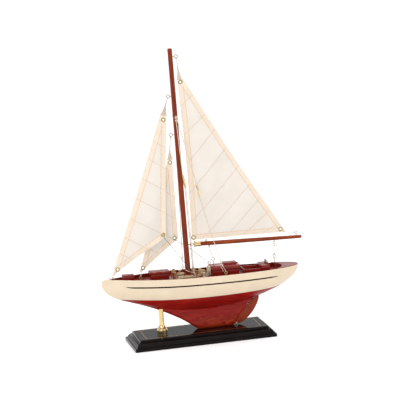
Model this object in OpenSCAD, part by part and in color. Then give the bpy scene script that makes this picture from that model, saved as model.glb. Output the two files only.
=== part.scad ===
// Wooden display model of a yacht with a mainsail and two headsails, on a moulded stand.
// Millimetres. +X points aft, +Y to starboard, +Z up.
// The origin is the centre of the stand's underside.

/* [Stand] */
// Length of the stand along the hull
base_length = 250; // [220:1:280]
// Width of the stand
base_width = 97; // [85:1:110]
// Height of the stand
base_height = 17.8; // [15:0.1:22]
// Distance of the brass post ahead of the stand's centre
post_offset = 67.6; // [64:0.1:70]

/* [Hull] */
// Half of the greatest beam at the sheer
half_beam = 40; // [36:0.5:44]
// Height of the sheer amidships above the table
sheer_height = 117; // [114:0.5:120]
// Half of the thickness of the keel
keel_half_thickness = 5.5; // [5:0.1:7]
// Thickness of the bulwark around the sunken deck
bulwark = 3; // [2.5:0.1:4]

/* [Spars] */
// Forward rake of the mast in degrees
mast_rake = 1.09; // [0:0.01:2]
// Length of the mast from its heel in the hull to its truck
mast_length = 405; // [390:1:410]
// Diameter of the mast at the deck
mast_heel_d = 9.7; // [9:0.1:11]
// Diameter of the mast at the truck
mast_truck_d = 7.8; // [7:0.1:9]
// Length of the boom behind its ferrule
boom_length = 182; // [176:1:188]

/* [Sails] */
// Thickness of the sailcloth
cloth = 0.6; // [0.4:0.1:1]
// How far the headsails and the mainsail belly out
belly = 5; // [3:0.5:6]

/* [Rigging] */
// Diameter of the cord of the shrouds
shroud_d = 1.1; // [0.8:0.1:1.2]
// Diameter of the thinner thread
thread_d = 0.7; // [0.6:0.1:0.9]
// Wire diameter of the screw eyes
eye_wire = 1.2; // [1:0.1:1.4]

/* [Hidden] */
$fn = 48;

// ---- Hull lines -------------------------------------------------------------

bow_x = -168.5;
stern_x = 182;
deck_z = 112;                // upper face of the deck at x = 0
deck_slope = -0.025;
deck_tilt = atan(-deck_slope);
deck_thickness = 1;
well_aft_x = 152;            // where the sunken deck ends
well_round = 16;             // length of its rounded end
sternpost_foot_x = 60.6;
sternpost_top = [99, 63];
sternpost_bow = 4.6;         // rise of its curve over a straight line, measured upright

// Smooth curve through [x, value] points
function slope(p, i) = i == 0 ? (p[1][1] - p[0][1]) / (p[1][0] - p[0][0])
    : i == len(p) - 1 ? (p[i][1] - p[i - 1][1]) / (p[i][0] - p[i - 1][0])
    : (p[i + 1][1] - p[i - 1][1]) / (p[i + 1][0] - p[i - 1][0]);
function segment_of(p, x, i = 0) = i >= len(p) - 2 || x < p[i + 1][0] ? i : segment_of(p, x, i + 1);
function hermite(a, b, ma, mb, h, t) =
    a * (2 * t ^ 3 - 3 * t ^ 2 + 1) + b * (3 * t ^ 2 - 2 * t ^ 3)
    + h * ma * (t ^ 3 - 2 * t ^ 2 + t) + h * mb * (t ^ 3 - t ^ 2);
function through(p, x) = let (i = segment_of(p, x), h = p[i + 1][0] - p[i][0])
    hermite(p[i][1], p[i + 1][1], slope(p, i), slope(p, i + 1), h, (x - p[i][0]) / h);

// Centreline profile of the stem and keel, and of the counter behind the sternpost
stem_points = [[-168.5, 112], [-166, 106], [-160, 97.5], [-145, 87.5], [-120, 78],
    [-96, 69.5], [-73, 60], [-52, 49.5], [-30, 37], [-10, 22.5]];
counter_points = [[99, 63], [115, 67.5], [132, 73.2], [148, 79.5], [162, 87.5],
    [174, 97], [180, 105.5], [182, 112.5]];
// Bottom of the hull body, as if it had no keel under it
body_points = [[-168.5, 112], [-166, 106], [-160, 97.5], [-145, 87.5], [-120, 78],
    [-96, 69.5], [-70, 62], [-40, 57], [0, 54], [40, 54.5], [75, 59], [99, 63],
    [115, 67.5], [132, 73.2], [148, 79.5], [162, 87.5], [174, 97], [180, 105.5],
    [182, 112.5]];

function keel_line(x) = x <= -10 ? through(stem_points, x)
    : x <= 0 ? base_height + 4.7 * (x / 10) ^ 2
    : x <= sternpost_foot_x ? base_height
    : x <= sternpost_top[0] ? let (t = (x - sternpost_foot_x) / (sternpost_top[0] - sternpost_foot_x))
        base_height + (sternpost_top[1] - base_height) * t + sternpost_bow * 4 * t * (1 - t)
    : through(counter_points, x);
function body_line(x) = max(keel_line(x), through(body_points, x));
function sheer(x) = sheer_height - 0.025 * x + 0.00006 * x ^ 2
    - (x < -160 ? 0.14 * (x + 160) ^ 2 * 0.5 : 0);
function beam(x) = half_beam * (x < 0 ? max(0, 1 - (x / bow_x) ^ 2.4) ^ 1.25
    : max(0, 1 - (x / stern_x) ^ 2.6) ^ 0.52);
function waterline(x) = 80.3 + 0.00013 * (x - 55) ^ 2;
function keel_width(x) = 1 + (keel_half_thickness - 1) * max(0, 1 - ((x - 10) / 130) ^ 2)
    * (x > 40 ? max(0.25, 1 - (x - 40) / 75) : 1);

// Half-width of the hull at station x and height z: a round-bilged body joined to the keel
function section(x, z) = let (
        top = sheer(x),
        low = body_line(x),
        u = min(1, max(0, (top - z) / max(0.5, top - low))),
        round_up = sin(90 * min(1, (z - keel_line(x)) / 5)),
        body_y = beam(x) * (1 - u ^ 3.2) ^ 0.8,
        keel_y = keel_width(x) * (0.55 + 0.45 * round_up))
    (body_y ^ 2.5 + keel_y ^ 2.5) ^ 0.4;

// Half-ring of [y, z] points from the low to the high edge of a part of the section
function half_ring(x, low, high, n) = [for (j = [0:n]) let (z = low + (high - low) * (j / n) ^ 1.4)
    [section(x, z), z]];
function full_ring(x, low, high, n) = let (h = half_ring(x, low, high, n))
    concat([for (p = h) [x, p[0], p[1]]], [for (j = [n:-1:0]) [x, -h[j][0], h[j][1]]]);

// Closed solid through rings of the same even length, whose ends are closed by strips
module loft(rings) {
    n = len(rings[0]);
    m = len(rings);
    points = [for (r = rings) for (p = r) p];
    sides = [for (i = [0:m - 2]) for (k = [0:n - 1]) let (k2 = (k + 1) % n)
        for (f = [[i * n + k, (i + 1) * n + k, (i + 1) * n + k2], [i * n + k, (i + 1) * n + k2, i * n + k2]]) f];
    last = (m - 1) * n;
    caps = [for (k = [0:n / 2 - 2])
        for (f = [[k, k + 1, n - 2 - k], [k, n - 2 - k, n - 1 - k],
            [last + k + 1, last + k, last + n - 2 - k], [last + n - 2 - k, last + k, last + n - 1 - k]]) f];
    polyhedron(points, concat(sides, caps), convexity = 8);
}

// Stations crowd towards both ends
function stations(from, to, count) = [for (i = [0:count])
    (from + to) / 2 - (to - from) / 2 * cos(180 * i / count)];

// ---- General shapes ----------------------------------------------------------

function unit(v) = v / norm(v);
function tangent(p, i) = unit(p[min(i + 1, len(p) - 1)] - p[max(i - 1, 0)]);
function across(t) = unit(cross(t, abs(t[1]) > 0.9 ? [1, 0, 0] : [0, 1, 0]));

// Cord of diameter d swept along its route
module cord(route, d) {
    loft([for (i = [0:len(route) - 1]) let (t = tangent(route, i), s = across(t), u = cross(t, s))
        [for (k = [0:7]) route[i] + d / 2 * (cos(k * 45) * s + sin(k * 45) * u)]]);
}

// Straight round bar between two points
module bar(from, to, d) {
    v = to - from;
    translate(from)
        rotate([0, acos(v[2] / norm(v)), atan2(v[1], v[0])])
            cylinder(h = norm(v), d = d, $fn = 24);
}

// Wire ring of outer diameter od around the axis
module ring(at, axis, od, wire) {
    translate(at)
        rotate([0, acos(axis[2] / norm(axis)), atan2(axis[1], axis[0])])
            rotate_extrude($fn = 32)
                translate([(od - wire) / 2, 0])
                    circle(d = wire, $fn = 16);
}

// Screw eye: a ring centred at the point, with its shank running to the foot
module screw_eye(at, foot, axis, od = 6.8) {
    reach = unit(foot - at);
    union() {
        ring(at, axis, od, eye_wire);
        bar(at + reach * (od - eye_wire) / 2, foot, eye_wire);
    }
}

module on_deck(x = 0, y = 0) {
    translate([0, 0, deck_z])
        rotate([0, deck_tilt, 0])
            translate([x, y, 0])
                children();
}

// Block with rounded vertical and upper edges, standing on the deck
module deck_block(from_x, to_x, half_w, low, high, r = 1) {
    translate([0, half_w, 0])
        rotate([90, 0, 0])
            linear_extrude(2 * half_w)
                union() {
                    translate([from_x, low])
                        square([to_x - from_x, high - low - r]);
                    translate([from_x + r, low])
                        square([to_x - from_x - 2 * r, high - low]);
                    translate([from_x + r, high - r])
                        circle(r, $fn = 24);
                    translate([to_x - r, high - r])
                        circle(r, $fn = 24);
                }
}

// ---- Stand -------------------------------------------------------------------

plinth_h = 5.8;
mould_inset = 13.1;
screw_d = 4;
screw_clear = 4.2;
head_d = 8;
head_h = 2.5;
keel_screw_x = [12, 42];

// Moulding profile as [inset from the outer edge, height]
mould_profile = [[0.6, 0], [0, 0.6], [0, 5.2], [0.6, 5.8], [3, 6.2], [3.6, 8.2], [5, 10.6],
    [7.4, 12.4], [9.8, 13.4], [10.6, 14.4], [11.4, 16.8], [12.2, 17.5], [13.1, base_height]];

module screw_hole(x) {
    translate([x, 0, -1])
        cylinder(h = base_height + 2, d = screw_clear);
    translate([x, 0, -1])
        cylinder(h = head_h + 1.5, d = head_d + 0.6);
}

module stand_base() {
    color("#16100f")
        difference() {
            loft([for (p = mould_profile) let (a = base_length / 2 - p[0], b = base_width / 2 - p[0])
                [[a, b, p[1]], [-a, b, p[1]], [-a, -b, p[1]], [a, -b, p[1]]]]);
            screw_hole(-post_offset);
            for (x = keel_screw_x)
                screw_hole(x);
        }
}

inlay_w = 0.7;
inlay_h = 0.15;

module base_inlay() {
    a = base_length - 2 * mould_inset - 20;
    b = base_width - 2 * mould_inset - 11;
    color("#a9824f")
        translate([0, 0, base_height])
            linear_extrude(inlay_h)
                difference() {
                    square([a, b], center = true);
                    square([a - 2 * inlay_w, b - 2 * inlay_w], center = true);
                }
}

post_top = 61;
post_r = 4.5;
spigot_r = 2.5;
spigot_top = 70;

module stand_post() {
    h = post_top - base_height;
    color("#d8ba72")
        translate([-post_offset, 0, base_height])
            difference() {
                rotate_extrude()
                    polygon(concat(
                        [[0, 0], [8.2, 0], [8.6, 0.6], [8.6, 3.4]],
                        [for (a = [-60:20:60]) [8.4 + 1.1 * cos(a), 5.2 + 1.9 * sin(a)]],
                        [[8.2, 7.4], [8.2, 8.6]],
                        [for (t = [0:0.1:1]) [8 - 3.4 * sin(90 * t) ^ 0.8, 8.8 + 6.4 * t]],
                        [[post_r, 16], [4.2, 24], [4.4, h - 6], [post_r, h],
                            [spigot_r, h], [spigot_r, spigot_top - base_height], [0, spigot_top - base_height]]));
                translate([0, 0, -1])
                    cylinder(h = 13, d = screw_d);
            }
}

module countersunk_screw(x, top) {
    translate([x, 0, 0.3])
        union() {
            cylinder(h = head_h, d = head_d);
            cylinder(h = top - 0.3, d = screw_d);
        }
}

module post_screw() {
    color("#c9a24a")
        countersunk_screw(-post_offset, base_height + 11);
}

module keel_screws() {
    color("#c9a24a")
        for (x = keel_screw_x)
            countersunk_screw(x, base_height + 14);
}

// ---- Hull --------------------------------------------------------------------

split_from = -138.5;         // ends of the stained lower hull
split_to = 149.5;

module hull_topsides() {
    color("#ecdec4")
        difference() {
            loft([for (x = stations(bow_x, stern_x, 46)) full_ring(x, max(keel_line(x), waterline(x)), sheer(x), 9)]);
            well(0);
            mast_frame()
                translate([0, 0, -1])
                    cylinder(h = 30, d = mast_heel_d + 0.1);
        }
}

// Plan of the sunken deck, shrunk by gap all round
function well_half(x, gap) = max(0, beam(x) - bulwark - gap)
    * (x > well_aft_x - well_round ? sqrt(max(0, 1 - ((x - well_aft_x + well_round) / (well_round - gap)) ^ 2)) : 1);
well_fore_x = -151;
function well_plan(gap) = let (xs = concat([for (x = [well_fore_x + gap:7.5:well_aft_x - well_round]) x],
        [for (a = [4:14:89]) well_aft_x - well_round + (well_round - gap) * sin(a)]))
    concat([for (x = xs) [x, well_half(x, gap)]],
        [[well_aft_x - gap, 0]],
        [for (i = [len(xs) - 1:-1:0]) [xs[i], -well_half(xs[i], gap)]]);

module well(gap) {
    on_deck()
        translate([0, 0, -deck_thickness])
            linear_extrude(30)
                polygon(well_plan(gap));
}

module hull_bottom() {
    color("#7e1a16")
        difference() {
            loft([for (x = stations(split_from, split_to, 44))
                full_ring(x, keel_line(x), max(waterline(x) - 0.05, keel_line(x) + 0.4), 9)]);
            translate([-post_offset, 0, 40])
                cylinder(h = post_top + 0.1 - 40, r = post_r + 0.05);
            translate([-post_offset, 0, 40])
                cylinder(h = spigot_top + 1 - 40, r = spigot_r + 0.05);
        }
}

stripe_h = 1.8;
stripe_proud = 0.3;
stripe_from = -129;
stripe_to = 138;
function stripe_z(x) = sheer(x) - 13 + (x < -118 ? (x + 118) ^ 2 * 0.012 : 0);

module cove_stripe(side) {
    loft([for (x = stations(stripe_from, stripe_to, 34)) let (
            z = stripe_z(x),
            h = stripe_h / 2 * min(1, max(0.15, min(x - stripe_from, stripe_to - x) / 16)),
            low = section(x, z - h) + 0.08,
            high = section(x, z + h) + 0.08,
            ring = [[x, low, z - h], [x, low + stripe_proud, z - h], [x, high + stripe_proud, z + h], [x, high, z + h]])
        [for (k = [0:3]) let (p = ring[side > 0 ? k : 3 - k]) [p[0], side * p[1], p[2]]]]);
}

module cove_stripes() {
    color("#3a211c") {
        cove_stripe(1);
        cove_stripe(-1);
    }
}

module deck() {
    color("#7a1c16")
        difference() {
            on_deck()
                translate([0, 0, -deck_thickness])
                    linear_extrude(deck_thickness)
                        polygon(well_plan(0.15));
            mast_frame()
                cylinder(h = 30, d = mast_heel_d + 0.3);
        }
}

aft_deck_h = 0.7;
function aft_plan() = let (xs = [for (t = [0:0.1:1]) 131 + 49.5 * sin(90 * t)])
    concat([for (x = xs) [x, max(0.4, beam(x) - 1.2)]],
        [for (i = [len(xs) - 1:-1:0]) [xs[i], -max(0.4, beam(xs[i]) - 1.2)]]);

module aft_deck() {
    color("#a5524a")
        difference() {
            translate([0, 0, sheer(128) + 0.02])
                linear_extrude(aft_deck_h)
                    intersection() {
                        polygon(aft_plan());
                        translate([140, -50])
                            square([60, 100]);
                    }
            well(0);
        }
}

// ---- Deck furniture ------------------------------------------------------------

module foredeck_block() {
    color("#86201a")
        on_deck()
            deck_block(-132, -111, 6.5, 0, 12.5, 1.2);
}

module hatch_body() {
    color("#78150f")
        on_deck()
            deck_block(-82.5, -50.5, 8.5, 0, 10, 0.2);
}

module hatch_lid() {
    color("#8c1e17")
        on_deck()
            deck_block(-84.5, -48.5, 10, 10, 14.8, 1.3);
}

handle_x = [-77, -60];
module hatch_handles() {
    color("#d9c08a")
        on_deck()
            for (x = handle_x, side = [-1, 1])
                translate([x, side * 9.7, 13.7])
                    translate([-3, -0.35, -0.35])
                        cube([6, 0.7, 0.7]);
}

module mast_step() {
    color("#7a1c14")
        difference() {
            on_deck(-15, 0)
                union() {
                    cylinder(h = 3, r = 8.5);
                    translate([0, 0, 3])
                        cylinder(h = 2, r1 = 8.5, r2 = 6.6);
                }
            mast_frame()
                cylinder(h = 40, d = mast_heel_d + 0.1);
        }
}

post_places = [[-41.5, -14], [-3, -13], [-38, 14], [-3, 14]];
module mooring_posts() {
    color("#a4532a")
        for (p = post_places)
            on_deck(p[0], p[1])
                union() {
                    cylinder(h = 12.5, r = 1.6);
                    translate([0, 0, 10.5])
                        cylinder(h = 1.2, r = 2.3);
                }
}

spool_places = [[9, -17], [9, 17], [-26, 19]];
module deck_spools() {
    color("#cdb07f")
        for (p = spool_places)
            on_deck(p[0], p[1])
                rotate_extrude()
                    polygon([[0, 0], [2.8, 0], [2.8, 1.4], [1.9, 2.2], [1.7, 5.4], [2.2, 6.2],
                        [3, 7], [3, 8.2], [2.4, 9], [0, 9]]);
}

coil_cord = 2;
module coil(r, h) {
    rotate_extrude($fn = 32)
        translate([r, 0])
            union() {
                translate([0, coil_cord / 2])
                    circle(d = coil_cord, $fn = 16);
                translate([-coil_cord / 2, coil_cord / 2])
                    square([coil_cord, h - coil_cord]);
                translate([0, h - coil_cord / 2])
                    circle(d = coil_cord, $fn = 16);
            }
}

// The starboard posts carry a coil
module post_coils() {
    color("#b59a6a")
        for (p = [post_places[2], post_places[3]])
            on_deck(p[0], p[1])
                translate([0, 0, 5.8])
                    coil(2.7, 4.6);
}

// Hank of rope lying on the deck: a flat ring with straight sides
module hank(length, width, h, wall) {
    linear_extrude(h)
        difference() {
            union() {
                square([length - width, width], center = true);
                for (s = [-1, 1])
                    translate([s * (length - width) / 2, 0])
                        circle(d = width);
            }
            union() {
                square([length - width, width - 2 * wall], center = true);
                for (s = [-1, 1])
                    translate([s * (length - width) / 2, 0])
                        circle(d = width - 2 * wall);
            }
        }
}

// Each hank as [x, y, turn, length, width, height]
hank_places = [[-25, -24.5, 2, 28, 12, 6.5], [-29.5, -1, 5, 12, 10, 8], [10, 2, 0, 12, 10, 9.5]];
module rope_hanks() {
    color("#c9ab78")
        for (p = hank_places)
            on_deck(p[0], p[1])
                rotate([0, 0, p[2]])
                    hank(p[3], p[4], p[5], 3.2);
}

cabin_front = 24.6;
cabin_back = 73;
cabin_half = 14.5;
eaves = 9.6;

module cabin_hank() {
    color("#e0cdb0")
        on_deck(cabin_front - 4.4, -5.2)
            translate([0, 0, 9])
                rotate([90, 90, 90])
                    translate([0, 0, -3])
                        hank(17, 10, 6, 3.2);
}

module cabin_body() {
    color("#78150f")
        on_deck()
            deck_block(cabin_front, cabin_back, cabin_half, 0, eaves, 0.2);
}

// The roof's crown is an arc over its whole width
crown_r = 38;
module cabin_roof() {
    half = cabin_half + 1.6;
    color("#8c1e17")
        on_deck()
            translate([cabin_front - 1.2, 0, eaves])
                rotate([90, 0, 90])
                    linear_extrude(cabin_back - cabin_front + 2.4)
                        intersection() {
                            translate([-half, 0])
                                square([2 * half, 12]);
                            translate([0, 8.6 - crown_r])
                                circle(crown_r, $fn = 180);
                        }
}

module cabin_hatch() {
    color("#8c1e17")
        on_deck()
            difference() {
                deck_block(46.6, 70.2, 8, eaves + 7.2, eaves + 10.8, 1);
                translate([cabin_front, 0, eaves + 8.6 - crown_r])
                    rotate([0, 90, 0])
                        cylinder(h = 60, r = crown_r, $fn = 180);
            }
}

coaming_half = 14;
module cockpit_coaming() {
    color("#7d1811")
        on_deck() {
            for (s = [-1, 1])
                translate([83, s * coaming_half - 1.1, 0])
                    cube([29, 2.2, 7.2]);
            translate([80.6, -coaming_half - 1.1, 0])
                cube([2.2, 2 * coaming_half + 2.2, 7.2]);
        }
}

module cockpit_seat() {
    color("#8f2a20")
        on_deck()
            deck_block(112.3, 127, 17, 0, 12, 0.8);
}

module cockpit_backrest() {
    color("#86201a")
        on_deck()
            translate([123.6, 0, 12])
                rotate([90, 0, 90])
                    linear_extrude(3)
                        polygon([[-12, 0], [12, 0], [12, 4.6], [10.5, 5.2], [-8, 3], [-12, 1.4]]);
}

// ---- Spars ---------------------------------------------------------------------

mast_heel_x = -14.9;
mast_heel_z = 106;
module mast_frame() {
    translate([mast_heel_x, 0, mast_heel_z])
        rotate([0, -mast_rake, 0])
            children();
}
// Point on the mast's axis at height z
function mast_at(z) = [mast_heel_x - (z - mast_heel_z) * tan(mast_rake), 0, z];

module mast() {
    color("#8a331c")
        mast_frame()
            union() {
                cylinder(h = mast_length - 1.4, d1 = mast_heel_d, d2 = mast_truck_d);
                translate([0, 0, mast_length - 1.4])
                    cylinder(h = 1.4, d1 = mast_truck_d, d2 = mast_truck_d - 2);
            }
}

boom_fore = [9.2, 0, 168];
boom_aft = boom_fore + boom_length * [0.99938, 0, -0.0352];
function boom_at(x) = boom_fore + (boom_aft - boom_fore) * (x - boom_fore[0]) / (boom_aft[0] - boom_fore[0]);

module boom() {
    v = boom_aft - boom_fore;
    color("#96482a")
        translate(boom_fore)
            rotate([0, acos(v[2] / norm(v)), 0])
                union() {
                    translate([0, 0, -9])
                        cylinder(h = 9, d = 6.6);
                    cylinder(h = 70, d = 7.4);
                    translate([0, 0, 70])
                        cylinder(h = norm(v) - 71.5, d1 = 7.4, d2 = 5.8);
                    translate([0, 0, norm(v) - 1.5])
                        cylinder(h = 1.5, d1 = 5.8, d2 = 3.4);
                }
}

module boom_ferrule() {
    v = boom_aft - boom_fore;
    color("#d8ba72")
        translate(boom_fore)
            rotate([0, acos(v[2] / norm(v)), 0])
                difference() {
                    translate([0, 0, -11])
                        union() {
                            cylinder(h = 10.9, d = 8.8);
                            translate([0, 0, 9.4])
                                cylinder(h = 1.5, d = 9.3);
                        }
                    translate([0, 0, -9.1])
                        cylinder(h = 12, d = 6.7);
                }
}

// ---- Screw eyes and hooks --------------------------------------------------------

head_eye = [-12.5, 0, 496.7];
jib_eye = [-30.7, 0, 429.3];
staysail_eye = [-29.8, 0, 362.7];
hound_z = 395;
hound_y = 6.6;
gooseneck = [-6.9, 0, 168.6];
bow_eye = [-147.6, 0, 121.4];
stay_foot_eye = [-99.2, 0, 119];
vang_eye = [30.4, 0, 138];
sheet_eye = [23, 0, 132.4];
stern_eye = [140.7, 0, 131.6];
far_shroud_eye = [-16.8, 35, 122];
near_shroud_eye = [44, -34.6, 120];

module deck_eyes() {
    color("#b99a5b") {
        screw_eye(bow_eye, bow_eye - [0, 0, 9.5], [0, 1, 0], 5.4);
        screw_eye(stay_foot_eye, stay_foot_eye - [0, 0, 8.5], [0, 1, 0], 5.4);
        screw_eye(vang_eye, vang_eye - [-1.2, 0, 13], [0, 1, 0]);
        screw_eye(sheet_eye, sheet_eye - [-2.6, 0, 7.5], [0, 1, 0], 5.6);
        screw_eye(stern_eye, stern_eye - [0, 0, 24], [0, 1, 0]);
        screw_eye(far_shroud_eye, far_shroud_eye - [0, 0, 14], [0, 1, 0], 5.4);
        screw_eye(near_shroud_eye, near_shroud_eye - [0, 0, 14], [0, 1, 0], 5.4);
    }
}

module mast_eyes() {
    color("#b99a5b") {
        screw_eye(head_eye, mast_at(head_eye[2]), [0, 1, 0]);
        screw_eye(jib_eye, mast_at(jib_eye[2]), [0, 1, 0]);
        screw_eye(staysail_eye, mast_at(staysail_eye[2]), [0, 1, 0]);
        for (s = [-1, 1])
            screw_eye(mast_at(hound_z) + [0, s * hound_y, 0], mast_at(hound_z), [1, 0, 0], 5);
    }
}

module gooseneck_eye() {
    color("#b99a5b")
        screw_eye(gooseneck - [1.2, 0, 0], mast_at(gooseneck[2]), [0, 0, 1], 5.6);
}

vang_boom_eye = [25, 0, 162.2];
foot_boom_eye = [20.3, 0, 173];
sheet_boom_eye = [141.1, 0, 155.6];
outhaul_eye = [181.7, 0, 169.6];

module boom_eyes() {
    color("#b99a5b") {
        screw_eye(gooseneck + [1.7, 0, 0], boom_fore - [9.4, 0, -0.3], [0, 1, 0], 5.6);
        screw_eye(vang_boom_eye, boom_at(vang_boom_eye[0]), [0, 1, 0], 3.6);
        screw_eye(foot_boom_eye, boom_at(foot_boom_eye[0]), [0, 1, 0], 3.6);
        screw_eye(sheet_boom_eye, boom_at(sheet_boom_eye[0]), [0, 1, 0], 5.6);
        screw_eye(outhaul_eye, boom_at(outhaul_eye[0]), [0, 1, 0], 5.6);
    }
}

// ---- Sails -----------------------------------------------------------------------

function mix(a, b, t) = a + (b - a) * t;

// Corners of each sail in the centre plane: tack, clew, leech side and luff side of the head
main_corners = [[-4.6, 176.2], [163.6, 172.6], [-2.4, 457.6], [-12.4, 454.2]];
jib_corners = [[-149.6, 127.2], [-52.6, 188.6], [-35.6, 396.6], [-46.8, 397]];
stay_corners = [[-101.4, 126.4], [-28.2, 180.6], [-30.4, 317.6], [-38.2, 321.4]];

// Point of a sail: u runs from luff to leech and v from foot to head.
// Its side offset is a belly that dies out at the luff, the head and the foot.
function sail_point(c, u, v, bulge, clew_y, hollow) = let (
        luff = mix(c[0], c[3], v) + [hollow[0] * sin(180 * v), 0],
        leech = mix(c[1], c[2], v) - [hollow[1] * sin(180 * v), 0],
        p = mix(luff, leech, u) - [0, hollow[2] * sin(180 * u) * (1 - v) ^ 3])
    [p[0], clew_y * u * (1 - v) ^ 0.8 + bulge * sin(180 * u ^ 0.8) * sin(180 * v ^ 0.8), p[1]];

module sail(c, bulge, clew_y, hollow, nu = 8, nv = 14) {
    rings = [for (j = [0:nv]) let (v = j / nv) concat(
        [for (i = [0:nu]) sail_point(c, i / nu, v, bulge, clew_y, hollow) + [0, cloth / 2, 0]],
        [for (i = [nu:-1:0]) sail_point(c, i / nu, v, bulge, clew_y, hollow) - [0, cloth / 2, 0]])];
    color("#f1e9dc")
        loft(rings);
}

main_hollow = [2.5, 3, -0.5];
jib_hollow = [0.5, 0.8, -1];
stay_hollow = [0.5, 0, -1];
jib_side = -11;
stay_side = 3;

grommet_od = 8;
grommet_hole = 4.4;
grommet_h = 1.8;
module grommet(at) {
    translate(at)
        rotate([90, 0, 0])
            rotate_extrude()
                translate([(grommet_od + grommet_hole) / 4, 0])
                    intersection() {
                        circle(d = 2.4, $fn = 24);
                        square([(grommet_od - grommet_hole) / 2, grommet_h], center = true);
                    }
}

main_grommet_at = [[-1.7, -0.2, 180.2], [154, -0.2, 178.6], [-7.7, -0.2, 452.2]];
jib_grommet_at = [[-138.6, -1.7, 138.8], [-57, -10.2, 192.6], [-41.6, -0.3, 390.2]];
stay_grommet_at = [[-93.8, 0.3, 136.4], [-34.8, 2.6, 182.4], [-34.4, 0, 315.4]];

// Holes through the cloth at the eyelets
module eyelet_holes(places) {
    for (p = places)
        translate(p + [0, 4, 0])
            rotate([90, 0, 0])
                cylinder(h = 8, d = grommet_hole);
}

module mainsail() {
    difference() {
        sail(main_corners, -belly, 0, main_hollow, 10, 16);
        eyelet_holes(main_grommet_at);
    }
}
module jib() {
    difference() {
        sail(jib_corners, -belly * 0.8, jib_side, jib_hollow);
        eyelet_holes(jib_grommet_at);
    }
}
module staysail() {
    difference() {
        sail(stay_corners, -belly * 0.2, stay_side, stay_hollow, 8, 10);
        eyelet_holes(stay_grommet_at);
    }
}

module main_grommets() {
    color("#c9aa62")
        for (p = main_grommet_at)
            grommet(p);
}
module jib_grommets() {
    color("#c9aa62")
        for (p = jib_grommet_at)
            grommet(p);
}
module staysail_grommets() {
    color("#c9aa62")
        for (p = stay_grommet_at)
            grommet(p);
}

// ---- Running and standing rigging ---------------------------------------------------

// Narrow tail of cloth from a sail's head upwards
module cloth_tail(from, to, w) {
    v = to - from;
    hull() {
        translate(from)
            cube([w, 0.7, 1], center = true);
        translate(to)
            cube([1, 0.7, 1], center = true);
    }
}

module main_halyard() {
    color("#efe4d2")
        union() {
            cloth_tail([-7.4, 0, 458.6], [-10, 0, 481.6], 8);
            cord([[-9.9, 0, 481], [-11.6, 0, 492]], thread_d);
        }
}

module clew_outhaul() {
    color("#d8ccb8")
        cord([[163.6, -1.2, 173.4], [170, -0.8, 172.6], [178.4, 0, 170.4]], thread_d);
}

module tack_lashing() {
    color("#d8ccb8")
        union() {
            cord(concat([[-1.7, -1.8, 176.4]],
                [for (a = [50:-28:-230]) [0.3, -5.2 * cos(a), 168.3 + 5.2 * sin(a)]],
                [[-1.4, 1.6, 176.6]]), thread_d);
            cord([[2, 0, 174.2], [18, 0, 173.6]], thread_d);
        }
}

module jib_halyard() {
    color("#efe4d2")
        union() {
            cloth_tail([-41.2, 0, 398.4], [-33.6, 0, 419], 6);
            cord([[-33.8, 0, 418.5], [-31.9, 0, 425.6]], thread_d);
        }
}

module jib_tack_line() {
    color("#d8ccb8")
        cord([[-138.6, -3.3, 136.6], [-143.6, -2, 131.4], [-147.8, -0.8, 127.4], [-147.6, 0, 124.6]], thread_d);
}

module staysail_halyard() {
    color("#efe4d2")
        union() {
            cloth_tail([-34.2, 0, 322.6], [-32.6, 0, 341.8], 6);
            cord([[-32.6, 0, 341], [-30.6, 0, 359]], thread_d);
        }
}

module staysail_tack_line() {
    color("#d8ccb8")
        cord([[-93.8, -1.1, 133.8], [-97.4, -1, 127.6], [-99.4, -0.2, 122.2]], thread_d);
}

// Cord routes that cross from the hull to a moving part
near_route = [[-19.4, -7.6, 392], [5.4, -18, 277], [8.8, -20, 252.8], [36, -34.4, 140], [43, -34.6, 124]];
far_route = [[-21.8, 7.8, 392], [-18.6, 20, 262], [-16.8, 33.6, 138]];
lower_route = [[-21, -7.4, 391.8], [-15.4, -8, 293], [-11.2, -8.4, 271], [-9, -8.6, 214], [-6, -8, 117]];

module shroud_port() {
    color("#d9c6b2")
        cord(near_route, shroud_d);
}
module shroud_starboard() {
    color("#cfc2b4")
        cord(far_route, shroud_d);
}
module lower_shrouds() {
    color("#dccbb8")
        for (s = [-1, 1])
            cord([for (p = lower_route) [p[0] + (s > 0 ? 1.4 : 0), s * -p[1], p[2]]], shroud_d);
}

tube_d = 3;
module tube(from, to) {
    v = to - from;
    translate(from)
        rotate([0, acos(v[2] / norm(v)), atan2(v[1], v[0])])
            difference() {
                cylinder(h = norm(v), d = tube_d);
                translate([0, 0, -1])
                    cylinder(h = norm(v) + 2, d = shroud_d + 0.5);
            }
}

module shroud_tubes() {
    color("#c9ad6a") {
        tube(near_route[2], near_route[1]);
        for (s = [-1, 1])
            tube([lower_route[2][0] + (s > 0 ? 1.4 : 0), s * -lower_route[2][1], lower_route[2][2]],
                [lower_route[1][0] + (s > 0 ? 1.4 : 0), s * -lower_route[1][1], lower_route[1][2]]);
    }
}

module s_hook() {
    color("#9a958c")
        cord([[-17.2, 33.4, 135], [-19, 33.4, 137.4], [-18, 33.6, 140], [-15.8, 33.8, 139.4], [-15.8, 34, 136.4],
            [-17.4, 34.2, 132.4], [-17.6, 34.6, 128.4], [-16.4, 35, 126.2], [-14.8, 35, 127.4]], 0.9);
}

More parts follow.
